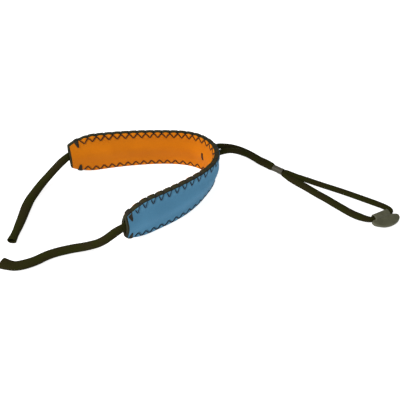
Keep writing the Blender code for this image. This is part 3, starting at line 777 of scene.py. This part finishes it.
def surface_offset(along, height, outer):
    """Offset of the jersey's outer surface from the band's middle surface, and its relief."""
    half = half_height(along)
    from_edge = half - np.abs(height - BAND_HEIGHT / 2)
    top = relief(along, top_height(along, (1 if outer else -1) * EDGE_HALF) - height, True, outer)
    bottom = relief(along, height - (BAND_HEIGHT / 2 - half), False, outer)
    rise = top + bottom
    shape = np.where(rise > 0, rise * PUFF_HIGH, rise * GROOVE_DEEP)
    bulge = (CHANNEL_HALF - CHANNEL_SINK) * channel_bulge(height)
    swell = BODY_SWELL * smooth_step(from_edge / BODY_SWELL_REACH)
    rounding = np.clip(1 - from_edge / EDGE_ROUND, 0.0, 1.4) ** 2 * EDGE_DROP
    return EDGE_HALF + bulge + swell + shape - rounding, rise


middle_offset, _ = surface_offset(BAND_LENGTH / 4, BAND_HEIGHT / 2, True)
print(f"band: {2 * middle_offset / MM:.1f} mm thick over the cord channel")

# %% [markdown]
# ### Foam and jersey
# Each sheet is a thin slab: a grid that is extruded once. Its rows are crowded towards the edges, where
# the stitches are. The foam goes from the cord channel to just under the jersey. The jersey lies on it
# and stops a little short of the cut edges, which show as a dark border.

# %% Wrap a sheet of the band
LONG_CELLS = 520
HIGH_CELLS = 40
ROW_CROWDING = 0.65
CHANNEL_GAP = 0.06 * MM
JERSEY_THICK = 0.34 * MM
JERSEY_END_INSET = 1.1 * MM
JERSEY_LOW_INSET = 0.35 * MM
INNER_TOP_INSET = 1.10 * MM
OUTER_TOP_INSET = 0.40 * MM


def sheet_placer(side, layer):
    """The function that turns a flat slab's points into one sheet of the band. Depth 0 is its inner face."""
    end_inset = low_inset = top_inset = 0.0
    if layer == "jersey":
        end_inset, low_inset = JERSEY_END_INSET, JERSEY_LOW_INSET
        top_inset = OUTER_TOP_INSET if side > 0 else INNER_TOP_INSET

    def place(flat):
        along = end_inset + flat[:, 0] * (BAND_LENGTH - 2 * end_inset)
        crowded = (1 - np.cos(np.pi * flat[:, 1])) / 2
        share = (1 - ROW_CROWDING) * flat[:, 1] + ROW_CROWDING * crowded
        low = BAND_HEIGHT / 2 - half_height(along) + low_inset
        high = top_height(along, side * EDGE_HALF) - top_inset
        height = low + (high - low) * share
        surface, _ = surface_offset(along, height, side > 0)
        under = surface - JERSEY_THICK
        wall = CHANNEL_GAP + (CHANNEL_HALF - CHANNEL_GAP) * channel_bulge(height)
        deep, shallow = (wall, under) if layer == "foam" else (under, surface)
        offset = deep + (shallow - deep) * flat[:, 2]
        high = top_height(along, side * offset) - top_inset
        return band_points(along, low + (high - low) * share, side * offset)

    return place


def add_attribute(piece, name, values):
    layer = piece.data.attributes.new(name, "FLOAT", "POINT")
    layer.data.foreach_set("value", np.asarray(values, np.float32))


def make_sheet(name, side, layer, material):
    bm = flat_strip(LONG_CELLS, HIGH_CELLS, True)
    flat = np.array([v.co for v in bm.verts])
    piece = wrapped(bm, name, sheet_placer(side, layer), (BAND_LENGTH, BAND_HEIGHT), material)
    along = flat[:, 0] * BAND_LENGTH
    heights = np.array([v.co.z for v in piece.data.vertices])
    if layer == "jersey":
        add_attribute(piece, "puff", surface_offset(along, heights, side > 0)[1])
    else:
        add_attribute(piece, "depth", flat[:, 2])
    return piece


inner_foam = make_sheet("inner_foam_sheet", -1, "foam", FOAM)
outer_foam = make_sheet("outer_foam_sheet", 1, "foam", FOAM)
inner_jersey = make_sheet("inner_jersey", -1, "jersey", ORANGE_JERSEY)
outer_jersey = make_sheet("outer_jersey", 1, "jersey", BLUE_JERSEY)
for piece in (inner_foam, outer_foam, inner_jersey, outer_jersey):
    say(piece)

# %% [markdown]
# The loop's strands leave through two round holes in the outer sheets. A Boolean with a cylinder cuts
# them, and the modifier is applied at once, so that the piece is a plain mesh again.

# %% Cut the cord's exits
EXIT_HALF_SPACING = 3.6 * MM
EXIT_RADIUS = 2.35 * MM
CUTTER_LENGTH = 12.0 * MM
CUTTER_MIDDLE = 6.2 * MM


def exit_place(side):
    """The middle of a cord exit on the band's middle surface, with Z pointing outwards."""
    along = BAND_LENGTH / 2 + side * EXIT_HALF_SPACING
    travel, outward = axes_at(along)
    point = Vector(band_points(along, BAND_HEIGHT / 2, 0.0))
    turn = Matrix((travel, outward.cross(travel), outward)).transposed().to_4x4()
    return Matrix.Translation(point) @ turn


def apply_modifiers(piece):
    """Makes what the modifiers show the piece's own mesh."""
    graph = bpy.context.evaluated_depsgraph_get()
    final = bpy.data.meshes.new_from_object(piece.evaluated_get(graph))
    piece.modifiers.clear()
    piece.data = final


def cylinder(name, radius, length, segments, matrix):
    """A closed cylinder along the Z axis of a place given as a matrix."""
    bm = bmesh.new()
    bmesh.ops.create_cone(
        bm, cap_ends=True, segments=segments, radius1=radius, radius2=radius, depth=length, matrix=matrix,
    )
    return from_bmesh(name, bm)


def boolean(piece, helper, operation):
    modifier = piece.modifiers.new(helper.name, "BOOLEAN")
    modifier.operation = operation
    modifier.object = helper


def cut_exits(piece):
    cutters = []
    for side in (-1, 1):
        place = exit_place(side) @ Matrix.Translation((0.0, 0.0, CUTTER_MIDDLE))
        cutters.append(cylinder("exit_cutter", EXIT_RADIUS, CUTTER_LENGTH, 24, place))
        boolean(piece, cutters[-1], "DIFFERENCE")
    bpy.context.view_layer.update()
    apply_modifiers(piece)
    for cutter in cutters:
        bpy.data.objects.remove(cutter)


for piece in (outer_foam, outer_jersey):
    cut_exits(piece)
    say(piece)

# %% [markdown]
# ### Sewing thread
# A thread is two plies that wind round each other. Two tubes could be wound together, but one tube
# whose section has two lobes, turned a little at each step, looks the same and has half the faces. Each
# zigzag is laid on the cloth point by point, and dips at every tip, where the needle took it through.

# %% Sweep a twisted thread
THREAD_RADIUS = 0.37 * MM
THREAD_TWIST = 1.9 * MM
THREAD_SPACING = 0.24 * MM
THREAD_SIDES = 8
PLY_MIDDLE = 0.80
PLY_SWING = 0.24
LEVEL_ENOUGH = 0.2


def sections_along(path):
    """At each point of a path: the direction of travel, a level side direction and the third one."""
    travel = np.gradient(path, axis=0)
    travel /= np.linalg.norm(travel, axis=1)[:, None]
    side = np.cross(travel, (0.0, 0.0, 1.0))
    lengths = np.linalg.norm(side, axis=1)
    for i in np.flatnonzero(lengths < LEVEL_ENOUGH):
        side[i] = side[i - 1] if i else (1.0, 0.0, 0.0)
    side /= np.linalg.norm(side, axis=1)[:, None]
    upward = np.cross(side, travel)
    upward /= np.linalg.norm(upward, axis=1)[:, None]
    side = np.cross(travel, upward)
    return travel, side, upward


def make_thread(name, path, material, radius=THREAD_RADIUS):
    path = evenly(np.array(path), THREAD_SPACING)
    rows = len(path) - 1
    _, side, upward = sections_along(path)
    distance = np.linspace(0.0, length_of(path), rows + 1)

    def place(flat):
        row = np.clip(np.round(flat[:, 1] * rows).astype(int), 0, rows)
        turn = flat[:, 0] * 2 * np.pi
        ply = turn - distance[row] / THREAD_TWIST * 2 * np.pi
        reach = radius * (PLY_MIDDLE + PLY_SWING * np.cos(2 * ply))
        reach = np.where((row == 0) | (row == rows), reach / 2, reach)
        across, above = np.cos(turn) * reach, np.sin(turn) * reach
        return path[row] + side[row] * across[:, None] + upward[row] * above[:, None]

    size = (2 * np.pi * radius, float(distance[-1]))
    return wrapped(flat_strip(THREAD_SIDES, rows, False), name, place, size, material, merge=True)


# %% Lay the zigzags
NEEDLE_DIP = 0.30 * MM
LEG_BOW = 0.22 * MM
LEG_POINTS = 9
THREAD_SINK = 0.55
OVER_EDGE_LIFT = -0.20 * MM
OVER_EDGE_LOOP = (
    (1.05 * OUTER_V_SHARE, 1.45 * MM), (0.42, 0.2 * MM), (0.50, -1.3 * MM),
    (0.58, 0.2 * MM), (1 - 1.05 * OUTER_V_SHARE, 1.45 * MM),
)


def on_cloth(along, depth, outer, at_top, lift):
    """A point over one face of the band, a depth in from its top or bottom edge."""
    side = 1 if outer else -1
    if at_top:
        height = top_height(along, side * EDGE_HALF) - depth
    else:
        height = BAND_HEIGHT / 2 - half_height(along) + depth
    offset, _ = surface_offset(along, height, outer)
    return band_points(along, height, side * (offset + lift))


def leg_points(start, stop, outer, at_top, dips):
    """Points of one leg of a stitch, from corner to corner, with its ends drawn into the cloth."""
    points = []
    for share in np.linspace(0.0, 1.0, LEG_POINTS)[:-1]:
        along = start[0] + (stop[0] - start[0]) * share
        depth = start[1] + (stop[1] - start[1]) * share
        bow = np.sin(share * np.pi) * LEG_BOW
        dip = dips[0] * np.clip(1 - share * 5, 0, 1) + dips[1] * np.clip(share * 5 - 4, 0, 1)
        points.append(on_cloth(along, depth, outer, at_top, THREAD_SINK * THREAD_RADIUS + bow - dip))
    return points


def stitch_points(tip, half, apex, outer, at_top):
    """The two legs of one V."""
    low = (tip, tip_depth(at_top, outer))
    down = leg_points((tip - half, apex), low, outer, at_top, (0.0, NEEDLE_DIP))
    return down + leg_points(low, (tip + half, apex), outer, at_top, (NEEDLE_DIP, 0.0))


def zigzag(at_top, outer):
    """Wide Vs that meet at their tops."""
    points = []
    for tip in STITCH_TIPS:
        points += stitch_points(tip, STITCH_PITCH / 2, APEX_DEPTH, outer, at_top)
    return points


def outer_top_stitches():
    """Narrow Vs on the outer face, joined by loops over the top edge."""
    points = []
    for tip in STITCH_TIPS:
        points += stitch_points(tip, OUTER_V_SHARE * STITCH_PITCH, OUTER_TOP_APEX_DEPTH, True, True)
        for share, out in OVER_EDGE_LOOP if tip != STITCH_TIPS[-1] else ():
            at = tip + STITCH_PITCH * share
            points.append(band_points(at, top_height(at, out) + OVER_EDGE_LIFT, out))
    return points


for name, points, material, node, slot in (
    ("top_inner_zigzag", zigzag(True, False), RED_BROWN_THREAD, "top_seam_inner_thread", "dark_thread"),
    ("top_outer_stitches", outer_top_stitches(), NAVY_THREAD, "top_seam_outer_thread", "navy_thread"),
    ("bottom_inner_zigzag", zigzag(False, False), RED_BROWN_THREAD, "bottom_seam_inner_thread", "dark_thread"),
    ("bottom_outer_zigzag", zigzag(False, True), NAVY_THREAD, "bottom_seam_outer_thread", "navy_thread"),
):
    thread = make_thread(name, points, material)
    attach(thread, "band")
    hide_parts(node)
    say(thread)

# %% [markdown]
# ### Tacks
# Each end of each seam is locked with a wedge of close satin stitches that wraps round the edge and
# leans a little away from the band's end. The middle of the band has an upright bar of the same
# stitches, which keeps the two ends of the cord channel apart. All are one thread going to and fro.

# %% Satin tacks
TACK_DEPTH = 5.6 * MM
TACK_WIDE = 1.45 * MM
TACK_LEAN = 1.0 * MM
TACK_TIP = 0.45 * MM
TACK_STEP = 0.46 * MM
TACK_START = 0.2 * MM
TACK_RADIUS = 0.32 * MM
TACK_CROWN = 0.28 * MM
TACK_EDGE_HALF = 1.3 * MM
FACE_LIFT = 0.3 * TACK_RADIUS
EDGE_LIFT = 0.4 * TACK_RADIUS


def satin(stations):
    """A thread that crosses from side to side, from a list of left and right points with a raised middle."""
    points = []
    for i, (left, crest, right) in enumerate(stations):
        points += [left, crest, right] if i % 2 == 0 else [right, crest, left]
    return points


def end_tack(name, along, inwards, at_top):
    """A wedge that goes up the inner face, over the edge and down the outer face."""

    def on_face(depth, outer):
        middle = along + inwards * TACK_LEAN * depth / TACK_DEPTH
        width = TACK_WIDE + (TACK_TIP - TACK_WIDE) * depth / TACK_DEPTH
        corners = ((middle - width, 0.0), (middle, TACK_CROWN), (middle + width, 0.0))
        return [on_cloth(at, depth, outer, at_top, FACE_LIFT + up) for at, up in corners]

    def on_edge(out):
        points = []
        for at, up in ((along - TACK_WIDE, 0.0), (along, TACK_CROWN), (along + TACK_WIDE, 0.0)):
            if at_top:
                height = top_height(at, out) + EDGE_LIFT + up
            else:
                height = BAND_HEIGHT / 2 - half_height(at) - EDGE_LIFT - up
            points.append(band_points(at, height, out))
        return points

    depths = np.arange(TACK_DEPTH, TACK_START, -TACK_STEP)
    edge = np.arange(-TACK_EDGE_HALF, TACK_EDGE_HALF + 0.05 * MM, TACK_STEP)
    stations = [on_face(depth, False) for depth in depths]
    stations += [on_edge(out) for out in edge]
    stations += [on_face(depth, True) for depth in depths[::-1]]
    return make_thread(name, satin(stations), TACK_THREAD, TACK_RADIUS)


last_stitch = FIRST_STITCH + STITCH_PITCH * STITCH_COUNT
for end, along, inwards in (("right", FIRST_STITCH, 1), ("left", last_stitch, -1)):
    for edge, at_top in (("top", True), ("bottom", False)):
        tack = end_tack(f"{end}_{edge}_satin", along, inwards, at_top)
        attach(tack, "band")
        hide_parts(f"{end}_{edge}_tack")
        say(tack)

# %% The upright bar in the middle
BAR_HEIGHT = 5.6 * MM
BAR_HALF_WIDTH = 0.85 * MM
BAR_STEP = 0.42 * MM
BAR_SINK = 0.10 * MM
BAR_CROWN = 0.34 * MM


def centre_bar():
    middle = BAND_LENGTH / 2
    heights = np.arange(-BAR_HEIGHT / 2, BAR_HEIGHT / 2, BAR_STEP) + BAND_HEIGHT / 2
    stations = []
    for outer, rows in ((False, heights), (True, heights[::-1])):
        sign = 1 if outer else -1
        for height in rows:
            surface = float(surface_offset(np.float64(middle), np.float64(height), outer)[0])
            levels = (surface - BAR_SINK, surface + BAR_CROWN, surface - BAR_SINK)
            places = (middle - BAR_HALF_WIDTH, middle, middle + BAR_HALF_WIDTH)
            stations.append([band_points(at, height, sign * level) for at, level in zip(places, levels)])
    return make_thread("centre_satin", satin(stations), RED_BROWN_THREAD, TACK_RADIUS)


centre_satin = centre_bar()
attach(centre_satin, "band")
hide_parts("centre_tack")
say(centre_satin)

# %% [markdown]
# ## Knitted cord
# The cord is a soft tube. It goes flat where it lies and flatter where it is held, it is ribbed
# lengthwise by its wales, and at the tails its end is open, with a rolled rim, ready for a temple tip. So
# its section is an oval whose two half sizes change along the route, and the surface of a tail goes
# out to the rim, over it, and back inside.

# %% Sweep a knitted tube
CORD_SIDES = 90
CORD_SPACING = 0.8 * MM
RIB_HIGH = 0.055 * MM
RIB_POWER = 0.7
OVAL_POWER = 0.85
HOLLOW_POINTS = 16
RIM_SHRINK = (0.30 * MM, 0.62 * MM)
RIM_PUSH = (0.22 * MM, 0.05 * MM)
CORD_WALL = 0.75 * MM


def oval(wave):
    """A cosine or a sine, changed a little so that it draws a fuller oval."""
    return np.sign(wave) * np.abs(wave) ** OVAL_POWER


def oval_tube(name, path, half_width, half_tall, hollow_end=False):
    """A ribbed tube along a path. The half sizes are arrays of a size at each point of the path."""
    travel, side, upward = sections_along(path)
    order, shrink, push = list(range(len(path))), [0.0] * len(path), [0.0] * len(path)
    if hollow_end:
        rim = len(path) - 1
        back = list(range(rim - 1, max(len(path) - HOLLOW_POINTS, 1), -1))
        order += [rim, rim] + back
        shrink += [*RIM_SHRINK] + [CORD_WALL] * len(back)
        push += [*RIM_PUSH] + [0.0] * len(back)
    order, shrink, push = np.array(order), np.array(shrink), np.array(push)
    rows = len(order) - 1

    def place(flat):
        row = np.clip(np.round(flat[:, 1] * rows).astype(int), 0, rows)
        at = order[row]
        turn = flat[:, 0] * 2 * np.pi
        rib = RIB_HIGH * np.abs(np.sin(turn * CORD_WALES / 2)) ** RIB_POWER
        wide = half_width[at] - shrink[row] + rib
        tall = half_tall[at] - np.minimum(shrink[row], 0.6 * half_tall[at]) + rib
        across, above = oval(np.cos(turn)) * wide, oval(np.sin(turn)) * tall
        points = path[at] + side[at] * across[:, None] + upward[at] * above[:, None]
        return points + travel[at] * push[row][:, None]

    size = (1.0, length_of(path) * rows / (len(path) - 1))
    return wrapped(flat_strip(CORD_SIDES, rows, False), name, place, size, CORD, merge=True)


def by_distance(path, pairs):
    """Values along a path, from pairs of a share of its length and a value, eased between them."""
    shares = np.linspace(0.0, 1.0, len(path))
    places, values = np.array(pairs, float).T
    window = np.linspace(-0.02, 0.02, 9)
    return np.interp(shares[:, None] + window, places, values).mean(axis=1) * MM


# %% [markdown]
# ### The tails
# A tail comes out of the band's end standing on edge, as the channel holds it, and turns flat on its
# way to the table. It is widest where it lies loosest. Two short lists of sizes along the route say
# this, and each number in them can be changed without touching the mesh.

# %% Make the tails
TAIL_RADIUS = 2.6 * MM
TAIL_INSIDE_BAND = 3.0 * MM
TABLE_GAP = 0.15 * MM


def laid_down(path, half_tall, solid_radius):
    """A path lowered by as much as the flattened cord is thinner than the round one, but not into the table."""
    lowered = path.copy()
    lowered[:, 2] = np.maximum(path[:, 2] - (solid_radius - half_tall), half_tall + RIB_HIGH + TABLE_GAP)
    return lowered


def make_tail(name, along, outwards, route, widths, talls):
    travel, _ = axes_at(along)
    mouth = Vector(band_points(along, BAND_HEIGHT / 2, 0.0))
    inside = mouth - travel * outwards * TAIL_INSIDE_BAND
    path = smooth_path([inside, mouth] + [Vector(point) for point in route], CORD_SPACING)
    wide, tall = by_distance(path, widths), by_distance(path, talls)
    path = laid_down(path, tall, TAIL_RADIUS)
    tail = oval_tube(name, path, wide, tall, hollow_end=True)
    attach(tail, "band")
    say(tail)
    return tail


right_tail = make_tail(
    "right_tail", 0.0, -1, RIGHT_TAIL_ROUTE,
    ((0, 1.3), (0.04, 1.3), (0.12, 2.6), (0.35, 2.85), (0.62, 3.4), (0.80, 3.0), (0.93, 2.45), (1.0, 2.95)),
    ((0, 2.9), (0.04, 2.9), (0.16, 2.3), (0.5, 2.1), (0.93, 1.7), (1.0, 2.2)),
)
left_tail = make_tail(
    "left_tail", BAND_LENGTH, 1, LEFT_TAIL_ROUTE,
    ((0, 1.3), (0.04, 1.3), (0.12, 2.6), (0.35, 2.9), (0.60, 3.1), (0.85, 3.5), (0.93, 3.3), (1.0, 3.9)),
    ((0, 2.9), (0.04, 2.9), (0.16, 2.3), (0.5, 2.1), (0.90, 1.8), (1.0, 2.3)),
)
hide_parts("right_tail_cord")
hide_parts("left_tail_cord")

# %% [markdown]
# ### The loop
# The loop is one length of cord, but the slider moves along it, so it is made in three stretches that meet inside
# the slider: the two strands between the band and the slider, and the front loop between the slider and the tab.

# %% Where the slider and the tab are
slide = next(joint for joint in frame["joints"] if joint["name"] == "slider_slide")
hinge = next(joint for joint in frame["joints"] if joint["name"] == "pull_tab_hinge")
slider_low, slider_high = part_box("slider")
slider_place = (Vector(slider_low) + Vector(slider_high)) / 2
forward = Vector(slide["axis"]).normalized()
leftward = Vector((-forward.y, forward.x, 0.0))
tab_place = Vector(hinge["pos_m"])
tab_along = -Vector(hinge["axis"]).normalized()
print("slider at", [round(v, 4) for v in slider_place], "and tab at", [round(v, 4) for v in tab_place])

# %% Make the loop's three stretches
LOOP_RADIUS = 2.05 * MM
STRAND_RADIUS = 1.85 * MM
FAR_STRAND_HALF_WIDTH = 2.0 * MM
NEAR_STRAND_HALF_WIDTH = 2.45 * MM
PAIR_HALF_SPACING = 1.6 * MM
SQUEEZED_HALF_SPACING = 0.93 * MM
SQUEEZED_HALF_WIDTH = 0.92 * MM
SQUEEZED_HALF_HEIGHT = 1.5 * MM
HELD_SIZE = 1.7 * MM
SLEEVED_SIZE = 1.55 * MM
SLIDER_HALF = 4.0 * MM
SLEEVE_HALF = 5.75 * MM


def part_way(start, stop, share):
    return start + (stop - start) * share


def beside_slider(side, distance):
    """A point of a strand at a distance past the slider's middle. Side -1 is the right strand."""
    parted = np.clip((abs(distance) - SLIDER_HALF + 1.0 * MM) / (3.0 * MM), 0.0, 1.0)
    spacing = part_way(SQUEEZED_HALF_SPACING, PAIR_HALF_SPACING, parted)
    return slider_place + forward * distance - leftward * side * spacing


def strand_sizes(path, wide, tall):
    """Half sizes along a stretch: squeezed in the slider, held thin beside it, and thin in the tab's sleeve."""
    from_slider = np.abs((path - np.array(slider_place)) @ np.array(forward))
    released = smooth_step((from_slider - SLIDER_HALF + 0.4 * MM) / (2.2 * MM))
    opened = np.clip((from_slider - 2 * SLIDER_HALF) / (9.0 * MM), 0.0, 1.0)
    from_sleeve = np.linalg.norm(path - np.array(tab_place), axis=1) - SLEEVE_HALF
    free = np.clip(from_sleeve / (8.0 * MM), 0.0, 1.0)

    def size(full, squeezed):
        beside = part_way(HELD_SIZE, full, opened)
        return np.minimum(part_way(squeezed, beside, released), part_way(SLEEVED_SIZE, beside, free))

    return size(wide, SQUEEZED_HALF_WIDTH), size(tall, SQUEEZED_HALF_HEIGHT)


def make_back_strand(name, side, route):
    place = exit_place(side)
    leave = [place @ Vector((0.0, 0.0, depth * MM)) for depth in (-0.8, 3.0)]
    beside = [beside_slider(side, distance * MM) for distance in (-4.0, -2.0, 0.0)]
    path = smooth_path(leave + [Vector(point) for point in route] + beside, CORD_SPACING)
    wide, tall = strand_sizes(path, STRAND_RADIUS, STRAND_RADIUS)
    return oval_tube(name, path, wide, tall), path


def make_front_loop():
    points = []
    for side, route in ((-1, RIGHT_STRAND_TO_TAB), (1, LEFT_STRAND_TO_TAB)):
        beside = [beside_slider(side, distance * MM) for distance in (0.0, 2.0, 4.0)]
        sleeve = tab_place - tab_along * side * SLEEVE_HALF
        strand = beside + [Vector(point) for point in route] + [sleeve]
        points += strand if side == -1 else strand[::-1]
    path = smooth_path(points, CORD_SPACING)
    past_tab = np.clip((np.linspace(0.0, 1.0, len(path)) - 0.45) / 0.1, 0.0, 1.0)
    half_width = part_way(FAR_STRAND_HALF_WIDTH, NEAR_STRAND_HALF_WIDTH, past_tab)
    wide, tall = strand_sizes(path, half_width, 0.85 * half_width)
    path = laid_down(path, tall, LOOP_RADIUS)
    return oval_tube("front_loop", path, wide, tall), path


strands = []
for name, side, route in (
    ("right_back_strand", -1, RIGHT_STRAND_TO_SLIDER), ("left_back_strand", 1, LEFT_STRAND_TO_SLIDER),
):
    strand, path = make_back_strand(name, side, route)
    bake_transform(strand)
    strands.append((strand, path))
    say(strand)

front_loop, front_path = make_front_loop()
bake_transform(front_loop)
say(front_loop)

# %% [markdown]
# ### Slider
# The slider is a short length of soft smoked tube, pinched a little flat by the springy cord inside it.
# A profile is spun into a ring, its rims are rounded with a bevel, and the ring is scaled to an oval.
# Spinning keeps the wall even, which cutting one cylinder out of another would not once it is pinched.

# %% Make the slider
SLIDER_RADIUS = 2.35 * MM
SLIDER_BORE_RADIUS = 1.95 * MM
SLIDER_ROUNDING = 0.16 * MM
SLIDER_WIDE = 1.03
SLIDER_TALL = 0.93
SLIDER_WAIST = 0.05
LEVEL = 1e-6


def rise(edge):
    return abs(edge.verts[0].co.z - edge.verts[1].co.z)


def goes_round(edge):
    """Whether an edge of the spun profile keeps its height and its distance from the axis."""
    near, far = (vert.co.xy.length for vert in edge.verts)
    return rise(edge) < LEVEL and abs(near - far) < LEVEL


def make_slider():
    bm = bmesh.new()
    profile = (
        (SLIDER_BORE_RADIUS, -SLIDER_HALF), (SLIDER_RADIUS, -SLIDER_HALF),
        (SLIDER_RADIUS, SLIDER_HALF), (SLIDER_BORE_RADIUS, SLIDER_HALF),
    )
    corners = [bm.verts.new((reach, 0.0, height)) for reach, height in profile]
    outline = [bm.edges.new((a, b)) for a, b in zip(corners, corners[1:] + corners[:1])]
    bmesh.ops.spin(
        bm, geom=corners + outline, cent=(0, 0, 0), axis=(0, 0, 1), angle=2 * np.pi, steps=48, use_merge=True,
    )
    bmesh.ops.bevel(
        bm, geom=[edge for edge in bm.edges if goes_round(edge)], offset=SLIDER_ROUNDING, segments=3,
        affect="EDGES", profile=0.5, material=-1,
    )
    bmesh.ops.subdivide_edges(bm, edges=[edge for edge in bm.edges if rise(edge) > SLIDER_HALF], cuts=8)
    for vert in bm.verts:
        waist = 1 - SLIDER_WAIST * np.cos(vert.co.z / SLIDER_HALF * np.pi / 2)
        vert.co.x *= waist * SLIDER_WIDE
        vert.co.y *= waist * SLIDER_TALL
    turn = Matrix((leftward, forward.cross(leftward), forward)).transposed().to_4x4()
    bmesh.ops.transform(bm, matrix=Matrix.Translation(slider_place) @ turn, verts=bm.verts)
    bmesh.ops.recalc_face_normals(bm, faces=bm.faces)
    mesh = bpy.data.meshes.new("vinyl_slider")
    bm.to_mesh(mesh)
    bm.free()
    return shown("vinyl_slider", mesh, VINYL)


vinyl_slider = make_slider()
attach(vinyl_slider, "slider")
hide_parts("slider")
say(vinyl_slider)

# %% [markdown]
# ### Pull tab
# The tab is moulded in one piece, so nothing on it has a hard inside corner. A half-moon plate and a
# sleeve are joined, and a voxel remesh with some smoothing melts the join into a fillet, as it would
# be in the mould.

# %% Draw the tab
TAB_THICK = 2.2 * MM
TAB_ROUNDING = 0.6 * MM
TAB_OUTLINE = (
    (-7.9, 1.0), (-9.1, 2.6), (-8.9, 4.3), (-7.9, 5.6), (-5.7, 7.3), (-3.3, 8.7), (0.0, 9.5), (2.6, 9.6),
    (5.6, 9.2), (8.1, 8.3), (10.1, 6.8), (11.1, 5.1), (10.8, 3.5), (9.0, 2.6), (6.8, 1.6),
)


def tab_plate():
    """The half-moon, drawn flat, extruded, and rounded along its rims."""
    bm = bmesh.new()
    drawn = [Vector((across * MM, -reach * MM, -TAB_THICK / 2)) for across, reach in TAB_OUTLINE]
    outline = smooth_path(drawn, 1.0 * MM)
    face = bm.faces.new([bm.verts.new(point) for point in outline])
    grown = bmesh.ops.extrude_face_region(bm, geom=[face])["geom"]
    raised = [item for item in grown if isinstance(item, bmesh.types.BMVert)]
    bmesh.ops.translate(bm, verts=raised, vec=(0.0, 0.0, TAB_THICK))
    bmesh.ops.bevel(
        bm, geom=[edge for edge in bm.edges if rise(edge) < LEVEL], offset=TAB_ROUNDING, segments=3,
        affect="EDGES", profile=0.5, material=-1,
    )
    bmesh.ops.recalc_face_normals(bm, faces=bm.faces)
    return bm


# %% Make the tab
TAB_TILT = np.radians(8.0)
SLEEVE_RADIUS = 2.8 * MM
SLEEVE_BORE_RADIUS = 1.75 * MM
SLEEVE_BORE_LENGTH = 30.0 * MM
MELT_VOXEL = 0.26 * MM
MELT_ROUNDS = 7


def make_tab():
    tab = from_bmesh("rubber_tab", tab_plate())
    lengthwise = Matrix.Rotation(np.pi / 2, 4, "Y")
    sleeve = cylinder("sleeve", SLEEVE_RADIUS, 2 * SLEEVE_HALF, 40, lengthwise)
    bore = cylinder("bore", SLEEVE_BORE_RADIUS, SLEEVE_BORE_LENGTH, 40, lengthwise)
    boolean(tab, sleeve, "UNION")
    boolean(tab, bore, "DIFFERENCE")
    remesh = tab.modifiers.new("melt", "REMESH")
    remesh.mode = "VOXEL"
    remesh.voxel_size = MELT_VOXEL
    smooth = tab.modifiers.new("smooth", "SMOOTH")
    smooth.factor = 0.5
    smooth.iterations = MELT_ROUNDS
    bpy.context.view_layer.update()
    apply_modifiers(tab)
    for helper in (sleeve, bore):
        bpy.data.objects.remove(helper)
    upward = Vector((0.0, 0.0, 1.0))
    turn = Matrix((tab_along, upward.cross(tab_along), upward)).transposed().to_4x4()
    tab.data.transform(Matrix.Translation(tab_place) @ turn @ Matrix.Rotation(TAB_TILT, 4, "X"))
    tab.data.materials.clear()
    tab.data.materials.append(RUBBER)
    tab.data.shade_smooth()
    return tab


rubber_tab = make_tab()
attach(rubber_tab, "pull_tab")
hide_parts("pull_tab")
say(rubber_tab)

# %% [markdown]
# ## What rides on what
# The padded sheets and the cloth on them move with the band. The solids that stay hidden inside keep their shape
# and take the cord's finish.

# %% Join the sheets to the band
for piece, node, slot in (
    (inner_foam, "inner_foam", "foam"), (outer_foam, "outer_foam", "foam"),
    (inner_jersey, "inner_face_knit", "orange_knit"), (outer_jersey, "outer_face_knit", "blue_knit"),
):
    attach(piece, "band")
    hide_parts(node)
    print(f"{piece.name} rides on the band and stands for {node}")
for node in ("right_channel_cord", "left_channel_cord"):
    channel = frame["nodes"][node]
    channel.data.materials.clear()
    channel.data.materials.append(CORD)

for strand, path in strands:
    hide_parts("loop_cord")
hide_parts("loop_cord")
